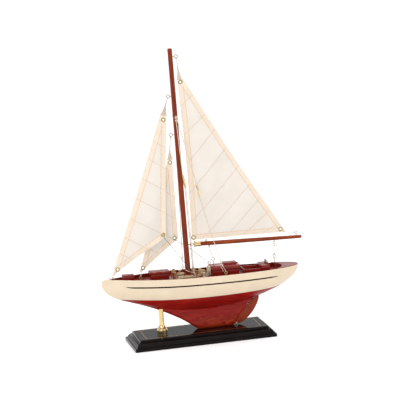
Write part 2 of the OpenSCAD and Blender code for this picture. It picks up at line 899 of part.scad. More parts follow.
module jib_sheet() {
    color("#dccbb8")
        cord([[-56.6, -11.9, 189.5], [-30, -10.2, 151], [-18.6, -8.6, 134], [-12, -8, 120]], thread_d);
}
module staysail_sheet() {
    color("#b9aca0")
        cord([[-34.6, 0.8, 179.4], [-8, 7.2, 160], [19.8, 1.4, 135]], thread_d);
}
module main_sheet() {
    color("#d8ccb8")
        cord([[141, 0, 152.6], [140.8, 0, 135.2]], thread_d);
}
module boom_vang() {
    color("#a39a90")
        cord([[25.2, 0, 160.2], [29.6, 0, 141.8]], thread_d);
}
module heel_lashing() {
    color("#dfd0b6")
        cord([[-21, -5, 126], [-15, -7.4, 122.6], [-8.6, -5.4, 119.6], [-2, -8, 116.8], [4, -12, 114.4]], shroud_d);
}

// ---- Rudder ------------------------------------------------------------------------

rudder_lean = 40.4;          // lean of the sternpost from upright
hinge_gap = 2.2;             // from the sternpost's face to the hinge line
pin_r = 0.75;
module rudder_frame() {
    translate([sternpost_foot_x + hinge_gap * cos(rudder_lean), 0, base_height - hinge_gap * sin(rudder_lean)])
        rotate([0, rudder_lean, 0])
            children();
}

rudder_t = 3;
module rudder() {
    color("#8f3a1a")
        rudder_frame()
            difference() {
                union() {
                    translate([0, 0, 7])
                        cylinder(h = 46, r = 1.7);
                    translate([0, rudder_t / 2, 0])
                        rotate([90, 0, 0])
                            linear_extrude(rudder_t)
                                polygon([[-1.8, 5], [4.2, 6.6], [7, 11.5], [9.3, 18.7], [10.9, 27.5], [11.5, 35],
                                    [11.3, 42], [10, 51], [7.2, 60.8], [3.8, 66.8], [1.6, 63.6],
                                    [-1.2, 58.4], [-1.8, 56], [-3, 49], [-4, 39], [-4.2, 30], [-3.9, 20], [-2.9, 11]]);
                }
                translate([0, 0, 4])
                    cylinder(h = 8, r = pin_r + 0.05);
                translate([0, 0, 54])
                    cylinder(h = 12, r = pin_r + 0.05);
            }
}

module rudder_pins() {
    color("#d0a95a")
        rudder_frame() {
            translate([0, 0, 4.6])
                cylinder(h = 6.6, r = pin_r);
            translate([0, 0, 54.6])
                cylinder(h = 15, r = pin_r);
        }
}

module heel_tab() {
    color("#d0a95a")
        rudder_frame()
            translate([-6, -2, 3.6])
                cube([7.6, 4, 1]);
}

// ---- Assembly ------------------------------------------------------------------------

stand_base();
base_inlay();
stand_post();
post_screw();
keel_screws();
hull_topsides();
hull_bottom();
cove_stripes();
deck();
aft_deck();
foredeck_block();
hatch_body();
hatch_lid();
hatch_handles();
mast_step();
mooring_posts();
deck_spools();
post_coils();
rope_hanks();
cabin_hank();
cabin_body();
cabin_roof();
cabin_hatch();
cockpit_coaming();
cockpit_seat();
cockpit_backrest();
deck_eyes();
mast();
mast_eyes();
gooseneck_eye();
shroud_port();
shroud_starboard();
lower_shrouds();
shroud_tubes();
s_hook();
jib_sheet();
staysail_sheet();
main_sheet();
boom_vang();
heel_lashing();
rudder();
rudder_pins();
heel_tab();
boom();
boom_ferrule();
boom_eyes();
mainsail();
main_grommets();
main_halyard();
clew_outhaul();
tack_lashing();
jib();
jib_grommets();
jib_halyard();
jib_tack_line();
staysail();
staysail_grommets();
staysail_halyard();
staysail_tack_line();
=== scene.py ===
"""A wooden display yacht on a black moulded stand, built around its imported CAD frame.

Lengths in this script are millimetres until mesh_piece() turns them into metres.
+X points aft, +Y to starboard, +Z up, with the origin under the middle of the stand.
"""

import math

import bmesh
import bpy
import numpy as np
from mathutils import Matrix, Vector


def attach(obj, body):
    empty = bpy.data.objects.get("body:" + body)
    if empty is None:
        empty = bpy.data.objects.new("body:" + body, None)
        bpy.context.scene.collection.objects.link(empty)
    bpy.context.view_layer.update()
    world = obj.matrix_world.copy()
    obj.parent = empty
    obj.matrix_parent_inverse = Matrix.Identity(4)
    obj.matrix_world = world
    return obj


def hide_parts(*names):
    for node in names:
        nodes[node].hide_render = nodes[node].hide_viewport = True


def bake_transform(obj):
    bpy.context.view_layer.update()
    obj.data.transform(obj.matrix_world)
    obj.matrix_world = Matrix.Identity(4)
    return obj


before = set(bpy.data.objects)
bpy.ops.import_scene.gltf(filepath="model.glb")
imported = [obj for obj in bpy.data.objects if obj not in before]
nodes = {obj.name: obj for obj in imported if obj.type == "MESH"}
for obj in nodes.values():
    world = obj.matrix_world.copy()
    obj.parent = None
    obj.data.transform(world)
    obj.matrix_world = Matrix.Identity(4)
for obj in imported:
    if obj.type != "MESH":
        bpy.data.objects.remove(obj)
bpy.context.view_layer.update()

MM = 0.001


# ---------------------------------------------------------------- camera and light

CAMERA_TARGET = Vector((13.86, 0, 244.7)) * MM
CAMERA_DISTANCE = 3629.9 * MM
CAMERA_AZIMUTH = math.radians(-12.14)
CAMERA_ELEVATION = math.radians(10.98)
CAMERA_ROLL = math.radians(-3.58)
CAMERA_LENS = 189.4


def make_camera():
    back = Vector((
        math.sin(CAMERA_AZIMUTH) * math.cos(CAMERA_ELEVATION),
        -math.cos(CAMERA_AZIMUTH) * math.cos(CAMERA_ELEVATION),
        math.sin(CAMERA_ELEVATION),
    ))
    right = (-back).cross(Vector((0, 0, 1))).normalized()
    up = back.cross(right)
    across = math.cos(CAMERA_ROLL) * right + math.sin(CAMERA_ROLL) * up
    above = -math.sin(CAMERA_ROLL) * right + math.cos(CAMERA_ROLL) * up
    data = bpy.data.cameras.new("camera")
    data.lens = CAMERA_LENS
    data.sensor_width = 36
    data.clip_end = 50
    camera = bpy.data.objects.new("camera", data)
    turn = Matrix((across, above, back)).transposed().to_4x4()
    camera.matrix_world = Matrix.Translation(CAMERA_TARGET + CAMERA_DISTANCE * back) @ turn
    bpy.context.collection.objects.link(camera)
    bpy.context.scene.camera = camera


def area_light(name, at, towards, size, power, colour=(1, 1, 1)):
    data = bpy.data.lights.new(name, "AREA")
    data.shape = "RECTANGLE"
    data.size, data.size_y = size
    data.energy = power
    data.color = colour
    lamp = bpy.data.objects.new(name, data)
    lamp.location = at
    lamp.rotation_euler = (Vector(towards) - Vector(at)).to_track_quat("-Z", "Y").to_euler()
    bpy.context.collection.objects.link(lamp)


# The dome's brightness by the height of a direction: dim just above the horizon, bright overhead
DOME = ((0, 0.74), (0.11, 0.74), (0.16, 0.44), (0.9, 1))
DOME_STRENGTH = 1.2
PAPER_SIZE, PAPER_WHITE, PAPER_GLOW = 120, 0.95, 0.12


def make_dome():
    world = bpy.data.worlds.new("studio")
    world.use_nodes = True
    tree = world.node_tree
    background = tree.nodes["Background"]
    background.inputs["Strength"].default_value = DOME_STRENGTH
    direction = tree.nodes.new("ShaderNodeTexCoord")
    height = tree.nodes.new("ShaderNodeSeparateXYZ")
    glow = tree.nodes.new("ShaderNodeValToRGB")
    stops = glow.color_ramp.elements
    for place, _ in DOME[1:-1]:
        stops.new(place)
    for stop, (place, level) in zip(stops, DOME):
        stop.position = place
        stop.color = (level, level, level, 1)
    tree.links.new(direction.outputs["Generated"], height.inputs[0])
    tree.links.new(height.outputs["Z"], glow.inputs["Fac"])
    tree.links.new(glow.outputs["Color"], background.inputs["Color"])
    bpy.context.scene.world = world


def make_stage():
    """White paper to the horizon and three soft lamps, under the dome."""
    make_dome()
    bpy.context.scene.view_settings.view_transform = "Standard"
    area_light("key", (-1.2, -1.6, 1.7), (0, 0, 0.22), (1.0, 1.0), 15, (1, 0.98, 0.95))
    area_light("fill", (1.7, -1.4, 0.9), (0, 0, 0.2), (0.9, 0.9), 4, (0.97, 0.98, 1))
    area_light("rim", (0.4, 1.6, 1.3), (0, 0, 0.2), (1.0, 0.5), 6)
    bpy.ops.mesh.primitive_plane_add(size=PAPER_SIZE, location=(0, 0, 0))
    floor = bpy.context.active_object
    floor.name = "floor"
    paper = bpy.data.materials.new("floor_paper")
    paper.use_nodes = True
    shader = paper.node_tree.nodes["Principled BSDF"]
    shader.inputs["Base Color"].default_value = (PAPER_WHITE, PAPER_WHITE, PAPER_WHITE, 1)
    shader.inputs["Roughness"].default_value = 1
    shader.inputs["Specular IOR Level"].default_value = 0
    shader.inputs["Emission Color"].default_value = (1, 1, 1, 1)
    shader.inputs["Emission Strength"].default_value = PAPER_GLOW
    floor.data.materials.append(paper)


# ---------------------------------------------------------------- materials

MATERIALS = {}


class Shader:
    """A material with a Principled shader, kept in MATERIALS, and short ways to add nodes to it."""

    def __init__(self, name, colour, roughness, **sockets):
        self.material = bpy.data.materials.new(name)
        self.material.use_nodes = True
        self.tree = self.material.node_tree
        self.shader = self.tree.nodes["Principled BSDF"]
        self.shader.inputs["Base Color"].default_value = (*colour, 1)
        self.shader.inputs["Roughness"].default_value = roughness
        for socket, value in sockets.items():
            self.shader.inputs[socket.replace("_", " ")].default_value = value
        self.coordinates = self.node("ShaderNodeTexCoord").outputs["Object"]
        MATERIALS[name] = self.material

    def node(self, kind, **values):
        node = self.tree.nodes.new(kind)
        for key, value in values.items():
            setattr(node, key, value)
        return node

    def link(self, a, b):
        self.tree.links.new(a, b)

    def stretched(self, scale, turn=(0, 0, 0)):
        """The object's coordinates, in metres, turned and then multiplied by scale."""
        turned = self.node("ShaderNodeMapping")
        turned.inputs["Rotation"].default_value = turn
        self.link(self.coordinates, turned.inputs["Vector"])
        scaled = self.node("ShaderNodeMapping")
        scaled.inputs["Scale"].default_value = scale
        self.link(turned.outputs["Vector"], scaled.inputs["Vector"])
        return scaled.outputs["Vector"]

    def noise(self, vector, scale=1.0, detail=3.0, roughness=0.55, distortion=0.0):
        node = self.node("ShaderNodeTexNoise")
        self.link(vector, node.inputs["Vector"])
        node.inputs["Scale"].default_value = scale
        node.inputs["Detail"].default_value = detail
        node.inputs["Roughness"].default_value = roughness
        node.inputs["Distortion"].default_value = distortion
        return node.outputs["Fac"]

    def ramp(self, value, stops):
        node = self.node("ShaderNodeValToRGB")
        self.link(value, node.inputs["Fac"])
        while len(node.color_ramp.elements) < len(stops):
            node.color_ramp.elements.new(0.5)
        for element, (place, colour) in zip(node.color_ramp.elements, stops):
            element.position = place
            element.color = (*colour, 1)
        return node.outputs["Color"]

    def span(self, value, low, high, to_low, to_high):
        node = self.node("ShaderNodeMapRange")
        self.link(value, node.inputs["Value"])
        node.inputs["From Min"].default_value = low
        node.inputs["From Max"].default_value = high
        node.inputs["To Min"].default_value = to_low
        node.inputs["To Max"].default_value = to_high
        return node.outputs["Result"]

    def math(self, operation, a, b):
        node = self.node("ShaderNodeMath", operation=operation)
        for socket, value in zip(node.inputs, (a, b)):
            if isinstance(value, (int, float)):
                socket.default_value = value
            else:
                self.link(value, socket)
        return node.outputs["Value"]

    def mix(self, factor, a, b):
        node = self.node("ShaderNodeMix", data_type="RGBA")
        for socket, value in ((node.inputs[0], factor), (node.inputs[6], a), (node.inputs[7], b)):
            if isinstance(value, (int, float)):
                socket.default_value = value
            elif isinstance(value, tuple):
                socket.default_value = (*value, 1)
            else:
                self.link(value, socket)
        return node.outputs[2]

    def colour(self, value):
        self.link(value, self.shader.inputs["Base Color"])

    def roughness(self, value):
        self.link(value, self.shader.inputs["Roughness"])

    def bump(self, height, depth):
        """Bump of the given depth in metres."""
        node = self.node("ShaderNodeBump")
        node.inputs["Strength"].default_value = 1
        node.inputs["Distance"].default_value = depth
        self.link(height, node.inputs["Height"])
        self.link(node.outputs["Normal"], self.shader.inputs["Normal"])


def wood(name, dark, mid, light, grain, turn=(0, 0, 0), rough=(0.2, 0.35), coat=0.6):
    """Stained and varnished wood. grain is the scale along X, Y and Z after the turn."""
    w = Shader(name, mid, rough[0], Coat_Weight=coat, Coat_Roughness=0.06, IOR=1.48,
               Specular_IOR_Level=0.14)
    along = w.stretched(grain, turn)
    figure = w.noise(along, 1, 4, 0.6, 0.6)
    fine = w.noise(along, 4.5, 3, 0.7, 0.2)
    cloud = w.noise(w.coordinates, 22, 2, 0.5)
    tone = w.math("ADD", w.math("MULTIPLY", figure, 0.62), w.math("MULTIPLY", fine, 0.38))
    stained = w.ramp(tone, [(0.36, dark), (0.52, mid), (0.68, light)])
    shade = w.span(cloud, 0.3, 0.7, 0.82, 1.12)
    shaded = w.node("ShaderNodeVectorMath", operation="SCALE")
    w.link(stained, shaded.inputs[0])
    w.link(shade, shaded.inputs["Scale"])
    w.stain = shaded.outputs["Vector"]
    w.colour(w.stain)
    w.roughness(w.span(fine, 0.3, 0.7, rough[0], rough[1]))
    w.bump(fine, 0.00004)
    return w


def lacquer(name, colour, rough, coat, mottle, **sockets):
    """Sprayed paint: a faint mottle in its colour and a very fine ripple in its surface."""
    p = Shader(name, colour, rough, Coat_Weight=coat, Coat_Roughness=0.05, **sockets)
    cloud = p.noise(p.coordinates, 45, 4, 0.6)
    dark = tuple(c * (1 - mottle) for c in colour)
    light = tuple(min(1, c * (1 + mottle)) for c in colour)
    p.colour(p.ramp(cloud, [(0.35, dark), (0.65, light)]))
    ripple = p.noise(p.coordinates, 600, 2, 0.5)
    p.roughness(p.span(ripple, 0.3, 0.7, rough * 0.85, rough * 1.2))
    p.bump(ripple, 0.00001)
    return p


def metal(name, colour, rough, tarnish):
    """Polished or dulled metal with tarnish in patches and fine polishing marks."""
    m = Shader(name, colour, rough, Metallic=1.0)
    patches = m.noise(m.coordinates, 160, 4, 0.65)
    dull = tuple(c * t for c, t in zip(colour, (0.62, 0.52, 0.36)))
    m.colour(m.mix(m.span(patches, 0.45, 0.75, 0, tarnish), colour, dull))
    marks = m.noise(m.stretched((900, 900, 900)), 1, 2, 0.5)
    m.roughness(m.span(marks, 0.3, 0.7, rough * 0.7, rough * 1.5))
    m.bump(marks, 0.000006)
    return m


WEAVE_PITCH = 0.00075
WAVES_PER_METRE = 3.18  # of the wave texture at a scale of 1


def cloth(name, colour, shade, sheer):
    """Plain-woven cotton. sheer is the share of the light that comes through."""
    c = Shader(name, colour, 0.85, Sheen_Weight=0.25, Sheen_Roughness=0.5)
    warp = c.node("ShaderNodeTexWave", wave_type="BANDS", bands_direction="X", wave_profile="SIN")
    weft = c.node("ShaderNodeTexWave", wave_type="BANDS", bands_direction="Z", wave_profile="SIN")
    for wave in (warp, weft):
        c.link(c.coordinates, wave.inputs["Vector"])
        wave.inputs["Scale"].default_value = 1 / WEAVE_PITCH / WAVES_PER_METRE
        wave.inputs["Distortion"].default_value = 0.6
        wave.inputs["Detail"].default_value = 1
        wave.inputs["Detail Scale"].default_value = 0.4
    weave = c.math("ADD", warp.outputs["Fac"], weft.outputs["Fac"])
    slub = c.noise(c.stretched((260, 40, 1500)), 1, 3, 0.6)
    cloud = c.noise(c.coordinates, 30, 3, 0.55)
    tone = c.math("ADD", c.math("MULTIPLY", slub, 0.5), c.math("MULTIPLY", cloud, 0.5))
    dyed = c.ramp(tone, [(0.34, shade), (0.6, colour)])
    # painted shade: the weave's hollows, where its bump dips, are darkened
    deep = tuple(v * 0.86 for v in shade)
    woven = c.mix(c.span(weave, 0.2, 1.4, 0.45, 0), dyed, deep)
    c.colour(woven)
    c.bump(c.math("ADD", weave, c.math("MULTIPLY", slub, 0.8)), 0.00005)
    through = c.node("ShaderNodeBsdfTranslucent")
    c.link(woven, through.inputs["Color"])
    both = c.node("ShaderNodeMixShader")
    both.inputs["Fac"].default_value = sheer
    c.link(c.shader.outputs["BSDF"], both.inputs[1])
    c.link(through.outputs["BSDF"], both.inputs[2])
    output = next(n for n in c.tree.nodes if n.type == "OUTPUT_MATERIAL")
    c.link(both.outputs["Shader"], output.inputs["Surface"])
    return c


def twine(name, colour, shade):
    """Twisted cotton or hemp: matt fibres with darker flecks."""
    t = Shader(name, colour, 0.8, Sheen_Weight=0.2, Sheen_Roughness=0.5)
    fibre = t.noise(t.coordinates, 2600, 3, 0.7)
    flecks = t.noise(t.coordinates, 240, 3, 0.6)
    tone = t.math("ADD", t.math("MULTIPLY", fibre, 0.5), t.math("MULTIPLY", flecks, 0.5))
    t.colour(t.ramp(tone, [(0.36, shade), (0.58, colour)]))
    t.bump(fibre, 0.00004)
    return t


def mahogany():
    """The stained lower hull: red over brown, with orange in blotches lower down on the keel."""
    w = wood("mahogany_lacquer", (0.18, 0.004, 0.004), (0.30, 0.008, 0.006), (0.41, 0.022, 0.010),
             (26, 260, 420), rough=(0.28, 0.4), coat=0.08)
    place = w.node("ShaderNodeSeparateXYZ")
    w.link(w.coordinates, place.inputs[0])
    low = w.span(place.outputs["Z"], 0.018, 0.05, 1, 0)
    blotch = w.noise(w.stretched((38, 60, 110)), 1, 5, 0.7, 1.2)
    # orange in blotches, strongest at the keel's bottom and fading out by 50 mm above the floor
    low_orange = w.math("MULTIPLY", low, w.span(blotch, 0.44, 0.66, 0, 0.85))
    w.colour(w.mix(low_orange, w.stain, (0.42, 0.085, 0.018)))
    return w


GRAIN_X = (30, 700, 700)
GRAIN_Z = (620, 620, 24)
BOOM_SLOPE = math.radians(2.02)

lacquer("black_lacquer", (0.005, 0.003, 0.003), 0.07, 0.0, 0.3, Specular_IOR_Level=0.13)
lacquer("cream_lacquer", (0.735, 0.605, 0.44), 0.42, 0.3, 0.035)
lacquer("dark_stripe", (0.030, 0.008, 0.005), 0.55, 0.0, 0.3, Specular_IOR_Level=0.08)
metal("gold_inlay", (0.42, 0.27, 0.12), 0.42, 0.5)
metal("polished_brass", (0.76, 0.57, 0.28), 0.12, 0.3)
metal("eyelet_brass", (0.46, 0.36, 0.17), 0.22, 0.6)
metal("aged_brass", (0.42, 0.34, 0.20), 0.3, 0.6)
metal("steel_wire", (0.42, 0.38, 0.33), 0.35, 0.5)
mahogany()
wood("deck_lacquer", (0.13, 0.012, 0.007), (0.22, 0.026, 0.013), (0.30, 0.045, 0.02),
     GRAIN_X, rough=(0.2, 0.32), coat=0.7)
wood("trim_lacquer", (0.11, 0.004, 0.003), (0.215, 0.011, 0.006), (0.31, 0.024, 0.010),
     GRAIN_X, rough=(0.2, 0.32), coat=0.35)
wood("post_wood", (0.20, 0.055, 0.018), (0.40, 0.13, 0.045), (0.55, 0.22, 0.08), GRAIN_Z)
wood("pale_wood", (0.42, 0.30, 0.14), (0.62, 0.47, 0.26), (0.76, 0.62, 0.40),
     GRAIN_Z, rough=(0.4, 0.55), coat=0.2)
wood("spar_wood", (0.11, 0.012, 0.003), (0.215, 0.027, 0.006), (0.35, 0.066, 0.013),
     GRAIN_Z, rough=(0.32, 0.46), coat=0.06)
wood("boom_wood", (0.13, 0.018, 0.004), (0.26, 0.045, 0.009), (0.39, 0.090, 0.020),
     GRAIN_X, turn=(0, -BOOM_SLOPE, 0), rough=(0.34, 0.48), coat=0.06)
wood("rudder_wood", (0.16, 0.014, 0.005), (0.28, 0.032, 0.010), (0.40, 0.065, 0.018),
     (500, 500, 30), turn=(0, -math.radians(40), 0), rough=(0.3, 0.42), coat=0.1)
cloth("sailcloth", (0.93, 0.885, 0.835), (0.87, 0.815, 0.755), 0.32)
cloth("hem_cloth", (0.94, 0.815, 0.675), (0.88, 0.74, 0.59), 0.12)
cloth("tail_cloth", (0.74, 0.62, 0.50), (0.60, 0.48, 0.37), 0.12)
twine("sail_thread", (0.80, 0.68, 0.56), (0.58, 0.46, 0.35))
twine("stitch_thread", (0.56, 0.27, 0.07), (0.38, 0.17, 0.04))
twine("grey_thread", (0.20, 0.16, 0.12), (0.11, 0.08, 0.06))
twine("rope", (0.62, 0.47, 0.28), (0.40, 0.27, 0.13))
twine("pale_rope", (0.80, 0.68, 0.52), (0.58, 0.44, 0.30))


# ---------------------------------------------------------------- mesh helpers

WELD = 2e-6  # in metres


def mesh_data(name, mesh, weld=0):
    """A Blender mesh of (vertices in mm, faces), with its normals outward."""
    vertices, faces = mesh
    data = bpy.data.meshes.new(name)
    data.from_pydata((np.asarray(vertices, float) * MM).tolist(), [],
                     [list(map(int, f)) for f in faces])
    work = bmesh.new()
    work.from_mesh(data)
    if weld:
        bmesh.ops.remove_doubles(work, verts=work.verts, dist=weld)
    bmesh.ops.recalc_face_normals(work, faces=work.faces)
    work.to_mesh(data)
    work.free()
    return data


def mesh_piece(name, mesh, look, body, replaces=(), sharp=35):
    """An object of (vertices in mm, faces) that rides on a body, or on none yet."""
    data = mesh_data(name, mesh, WELD)
    data.polygons.foreach_set("use_smooth", [True] * len(data.polygons))
    data.set_sharp_from_angle(angle=math.radians(sharp))
    piece = bpy.data.objects.new(name, data)
    bpy.context.collection.objects.link(piece)
    data.materials.append(MATERIALS[look])
    if body:
        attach(piece, body)
    if replaces:
        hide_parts(*replaces)
    return piece


def join(*meshes):
    vertices, faces, start = [], [], 0
    for v, f in meshes:
        vertices.append(np.asarray(v, float))
        faces += [[i + start for i in face] for face in f]
        start += len(v)
    return np.concatenate(vertices), faces


def grid(rows, closed=False, caps=False):
    """Faces over equal rows of points. closed joins each row's ends; caps fills the end rows."""
    points = np.concatenate([np.asarray(r, float) for r in rows])
    n = len(rows[0])
    last = n if closed else n - 1
    faces = [[i * n + k, i * n + (k + 1) % n, (i + 1) * n + (k + 1) % n, (i + 1) * n + k]
             for i in range(len(rows) - 1) for k in range(last)]
    if caps:
        faces.append(list(range(n))[::-1])
        faces.append([(len(rows) - 1) * n + k for k in range(n)])
    return points, faces


def frames_along(path):
    """Unit tangents and two carried normals at every point of a path."""
    path = np.asarray(path, float)
    steps = np.diff(path, axis=0)
    steps /= np.linalg.norm(steps, axis=1)[:, None]
    tangents = np.vstack([steps[:1], steps[:-1] + steps[1:], steps[-1:]])
    tangents /= np.linalg.norm(tangents, axis=1)[:, None]
    start = np.array([0, 1, 0]) if abs(tangents[0][1]) < 0.9 else np.array([1, 0, 0])
    normal = np.cross(tangents[0], start)
    normals = []
    for t in tangents:
        normal = normal - t * normal.dot(t)
        normal /= np.linalg.norm(normal)
        normals.append(normal.copy())
    normals = np.array(normals)
    return tangents, normals, np.cross(tangents, normals)


def sweep(path, radius, sides=8):
    """Round tube along a path."""
    _, a, b = frames_along(path)
    turn = np.arange(sides) * 2 * np.pi / sides
    rows = [p + radius * (np.outer(np.cos(turn), n) + np.outer(np.sin(turn), m))
            for p, n, m in zip(np.asarray(path, float), a, b)]
    return grid(rows, closed=True, caps=True)


def resampled(path, step):
    path = np.asarray(path, float)
    along = np.concatenate([[0], np.cumsum(np.linalg.norm(np.diff(path, axis=0), axis=1))])
    count = max(2, int(round(along[-1] / step)) + 1)
    s = np.linspace(0, along[-1], count)
    return np.column_stack([np.interp(s, along, path[:, i]) for i in range(3)])


def smooth_route(points, per=8):
    """Catmull-Rom curve through the points."""
    p = np.asarray(points, float)
    p = np.vstack([2 * p[0] - p[1], p, 2 * p[-1] - p[-2]])
    out = []
    for i in range(1, len(p) - 2):
        for t in np.linspace(0, 1, per, endpoint=False):
            out.append(0.5 * (2 * p[i] + (p[i + 1] - p[i - 1]) * t
                       + (2 * p[i - 1] - 5 * p[i] + 4 * p[i + 1] - p[i + 2]) * t ** 2
                       + (3 * p[i] - p[i - 1] - 3 * p[i + 1] + p[i + 2]) * t ** 3))
    out.append(p[-2])
    return np.array(out)


def laid(path, d, steps=8):
    """Three-strand rope of diameter d along a path, with steps points to each turn of its lay."""
    line = resampled(path, 3 * d / steps)
    _, a, b = frames_along(line)
    strand = 0.24 * d
    centre = 1.12 * strand
    turn = np.arange(len(line)) * 2 * np.pi / steps
    strands = []
    for k in range(3):
        phase = turn + k * 2 * np.pi / 3
        offset = centre * (np.cos(phase)[:, None] * a + np.sin(phase)[:, None] * b)
        strands.append(sweep(line + offset, strand, 5))
    return join(*strands)


def lathe(profile, at=(0, 0, 0), axis=(0, 0, 1), segments=48):
    """Turned solid from (radius, height) points, along axis from the point at."""
    axis = np.asarray(axis, float) / np.linalg.norm(axis)
    side = np.cross(axis, (0, 1, 0) if abs(axis[1]) < 0.9 else (1, 0, 0))
    side /= np.linalg.norm(side)
    other = np.cross(axis, side)
    turn = np.arange(segments) * 2 * np.pi / segments
    circle = np.outer(np.cos(turn), side) + np.outer(np.sin(turn), other)
    rows = [np.asarray(at) + axis * h + max(r, 1e-3) * circle for r, h in profile]
    return grid(rows, closed=True, caps=True)


def ring_lathe(profile, at, axis, segments=32):
    """Turned ring from a closed (radius, height) outline."""
    points, faces = lathe(list(profile) + [profile[0]], at, axis, segments)
    return points, faces[:-2]


def arc(cx, cy, r, start, end, count):
    return [(cx + r * math.cos(math.radians(a)), cy + r * math.sin(math.radians(a)))
            for a in np.linspace(start, end, count)]


def placed(mesh, matrix):
    points, faces = mesh
    m = np.array(matrix)
    return np.asarray(points) @ m[:3, :3].T + m[:3, 3], faces


def bevelled(mesh, width, segments=3, angle=40):
    """The mesh with its sharp edges rounded."""
    points, faces = mesh
    work = bmesh.new()
    made = [work.verts.new(p) for p in points]
    for f in faces:
        work.faces.new([made[i] for i in f])
    bmesh.ops.recalc_face_normals(work, faces=work.faces)
    sharp = [e for e in work.edges
             if len(e.link_faces) == 2 and e.calc_face_angle(0) > math.radians(angle)]
    bmesh.ops.bevel(work, geom=sharp, offset=width, segments=segments, profile=0.5, affect="EDGES",
                    clamp_overlap=True)
    work.verts.index_update()
    out = ([tuple(v.co) for v in work.verts], [[v.index for v in f.verts] for f in work.faces])
    work.free()
    return out


def block(x0, x1, y0, y1, z0, z1, round_edges=0.8):
    points = [(x, y, z) for x in (x0, x1) for y in (y0, y1) for z in (z0, z1)]
    faces = [[0, 1, 3, 2], [4, 6, 7, 5], [0, 4, 5, 1], [2, 3, 7, 6], [0, 2, 6, 4], [1, 5, 7, 3]]
    return bevelled((points, faces), round_edges)


def prism(outline, thickness, round_edges):
    """Solid of an (x, z) outline, thickness wide about y = 0."""
    n = len(outline)
    points = [(x, side * thickness / 2, z) for side in (-1, 1) for x, z in outline]
    faces = [list(range(n)), list(range(2 * n - 1, n - 1, -1))]
    faces += [[i, i + n, (i + 1) % n + n, (i + 1) % n] for i in range(n)]
    return bevelled((points, faces), round_edges)


def cut(piece, tools):
    """Takes closed meshes out of a piece."""
    for tool in tools:
        data = mesh_data("tool", tool)
        cutter = bpy.data.objects.new("tool", data)
        bpy.context.collection.objects.link(cutter)
        modifier = piece.modifiers.new("cut", "BOOLEAN")
        modifier.operation = "DIFFERENCE"
        modifier.solver = "EXACT"
        modifier.object = cutter
        bpy.context.view_layer.update()
        depsgraph = bpy.context.evaluated_depsgraph_get()
        done = bpy.data.meshes.new_from_object(piece.evaluated_get(depsgraph))
        piece.modifiers.clear()
        old = piece.data
        done.name = old.name
        piece.data = done
        bpy.data.meshes.remove(old)
        bpy.data.objects.remove(cutter)
        bpy.data.meshes.remove(data)


# ---------------------------------------------------------------- hull lines

BASE_LENGTH, BASE_WIDTH, BASE_HEIGHT = 250, 97, 17.8
POST_X = -67.6
POST_TOP, SPIGOT_TOP = 61, 70
KEEL_SCREW_X = (12, 42)
SCREW_HOLE = [(4.3, -1), (4.3, 2.5), (2.1, 2.5), (2.1, BASE_HEIGHT + 1)]
BOW_X, STERN_X = -168.5, 182
HALF_BEAM, SHEER_HEIGHT, KEEL_HALF = 40, 117, 5.5
BULWARK = 3
WATERLINE_Z, WATERLINE_LOW_X, WATERLINE_RISE = 80.3, 55, 0.00013
NOSE_REACH = 2.5
HULL_STATIONS = 150
BOTTOM_FROM, BOTTOM_TO = -139.5, 150.5
DECK_Z, DECK_SLOPE = 112, -0.025
WELL_FORE_X, WELL_AFT_X, WELL_ROUND = -151, 152, 16
COUNTER_DECK_X = 131
STERNPOST_FOOT_X = 60.6
STERNPOST_TOP = (99, 63)
STERNPOST_BOW = 4.6

COUNTER = [(99, 63), (115, 67.5), (132, 73.2), (148, 79.5),
           (162, 87.5), (174, 97), (180, 105.5), (182, 112.5)]
STEM = [(-168.5, 112), (-166, 106), (-160, 97.5), (-145, 87.5), (-120, 78), (-96, 69.5)]
KEEL_FRONT = STEM + [(-73, 60), (-52, 49.5), (-30, 37), (-10, 22.5)]
BODY = STEM + [(-70, 62), (-40, 57), (0, 54), (40, 54.5), (75, 59)] + COUNTER


def through(points, x):
    """Smooth curve through (x, value) points."""
    n = len(points)
    i = 0
    while i < n - 2 and x >= points[i + 1][0]:
        i += 1

    def slope(k):
        a, b = max(0, k - 1), min(n - 1, k + 1)
        return (points[b][1] - points[a][1]) / (points[b][0] - points[a][0])

    (x0, y0), (x1, y1) = points[i], points[i + 1]
    h = x1 - x0
    t = (x - x0) / h
    return (y0 * (2 * t ** 3 - 3 * t ** 2 + 1) + y1 * (3 * t ** 2 - 2 * t ** 3)
            + h * slope(i) * (t ** 3 - 2 * t ** 2 + t) + h * slope(i + 1) * (t ** 3 - t ** 2))


def keel_line(x):
    if x <= -10:
        return through(KEEL_FRONT, x)
    if x <= 0:
        return BASE_HEIGHT + 4.7 * (x / 10) ** 2
    if x <= STERNPOST_FOOT_X:
        return BASE_HEIGHT
    if x <= STERNPOST_TOP[0]:
        share = (x - STERNPOST_FOOT_X) / (STERNPOST_TOP[0] - STERNPOST_FOOT_X)
        straight = BASE_HEIGHT + share * (STERNPOST_TOP[1] - BASE_HEIGHT)
        return straight + STERNPOST_BOW * 4 * share * (1 - share)
    return through(COUNTER, x)


def sheer(x):
    drop = 0.07 * (x + 160) ** 2 if x < -160 else 0
    return SHEER_HEIGHT - 0.025 * x + 0.00006 * x ** 2 - drop


def beam(x):
    if x < 0:
        return HALF_BEAM * max(0, 1 - (x / BOW_X) ** 2.4) ** 1.25
    return HALF_BEAM * max(0, 1 - (x / STERN_X) ** 2.6) ** 0.52


def waterline(x):
    return WATERLINE_Z + WATERLINE_RISE * (x - WATERLINE_LOW_X) ** 2


def keel_width(x):
    full = max(0, 1 - ((x - 10) / 130) ** 2)
    aft = max(0.25, 1 - (x - 40) / 75) if x > 40 else 1
    return 1 + (KEEL_HALF - 1) * full * aft


def nose(x):
    """Rounds the very ends of the hull in plan."""
    reach = min(x - BOW_X, STERN_X - x) / NOSE_REACH
    return 1 if reach >= 1 else math.sqrt(max(0.02, 1 - (1 - reach) ** 2))


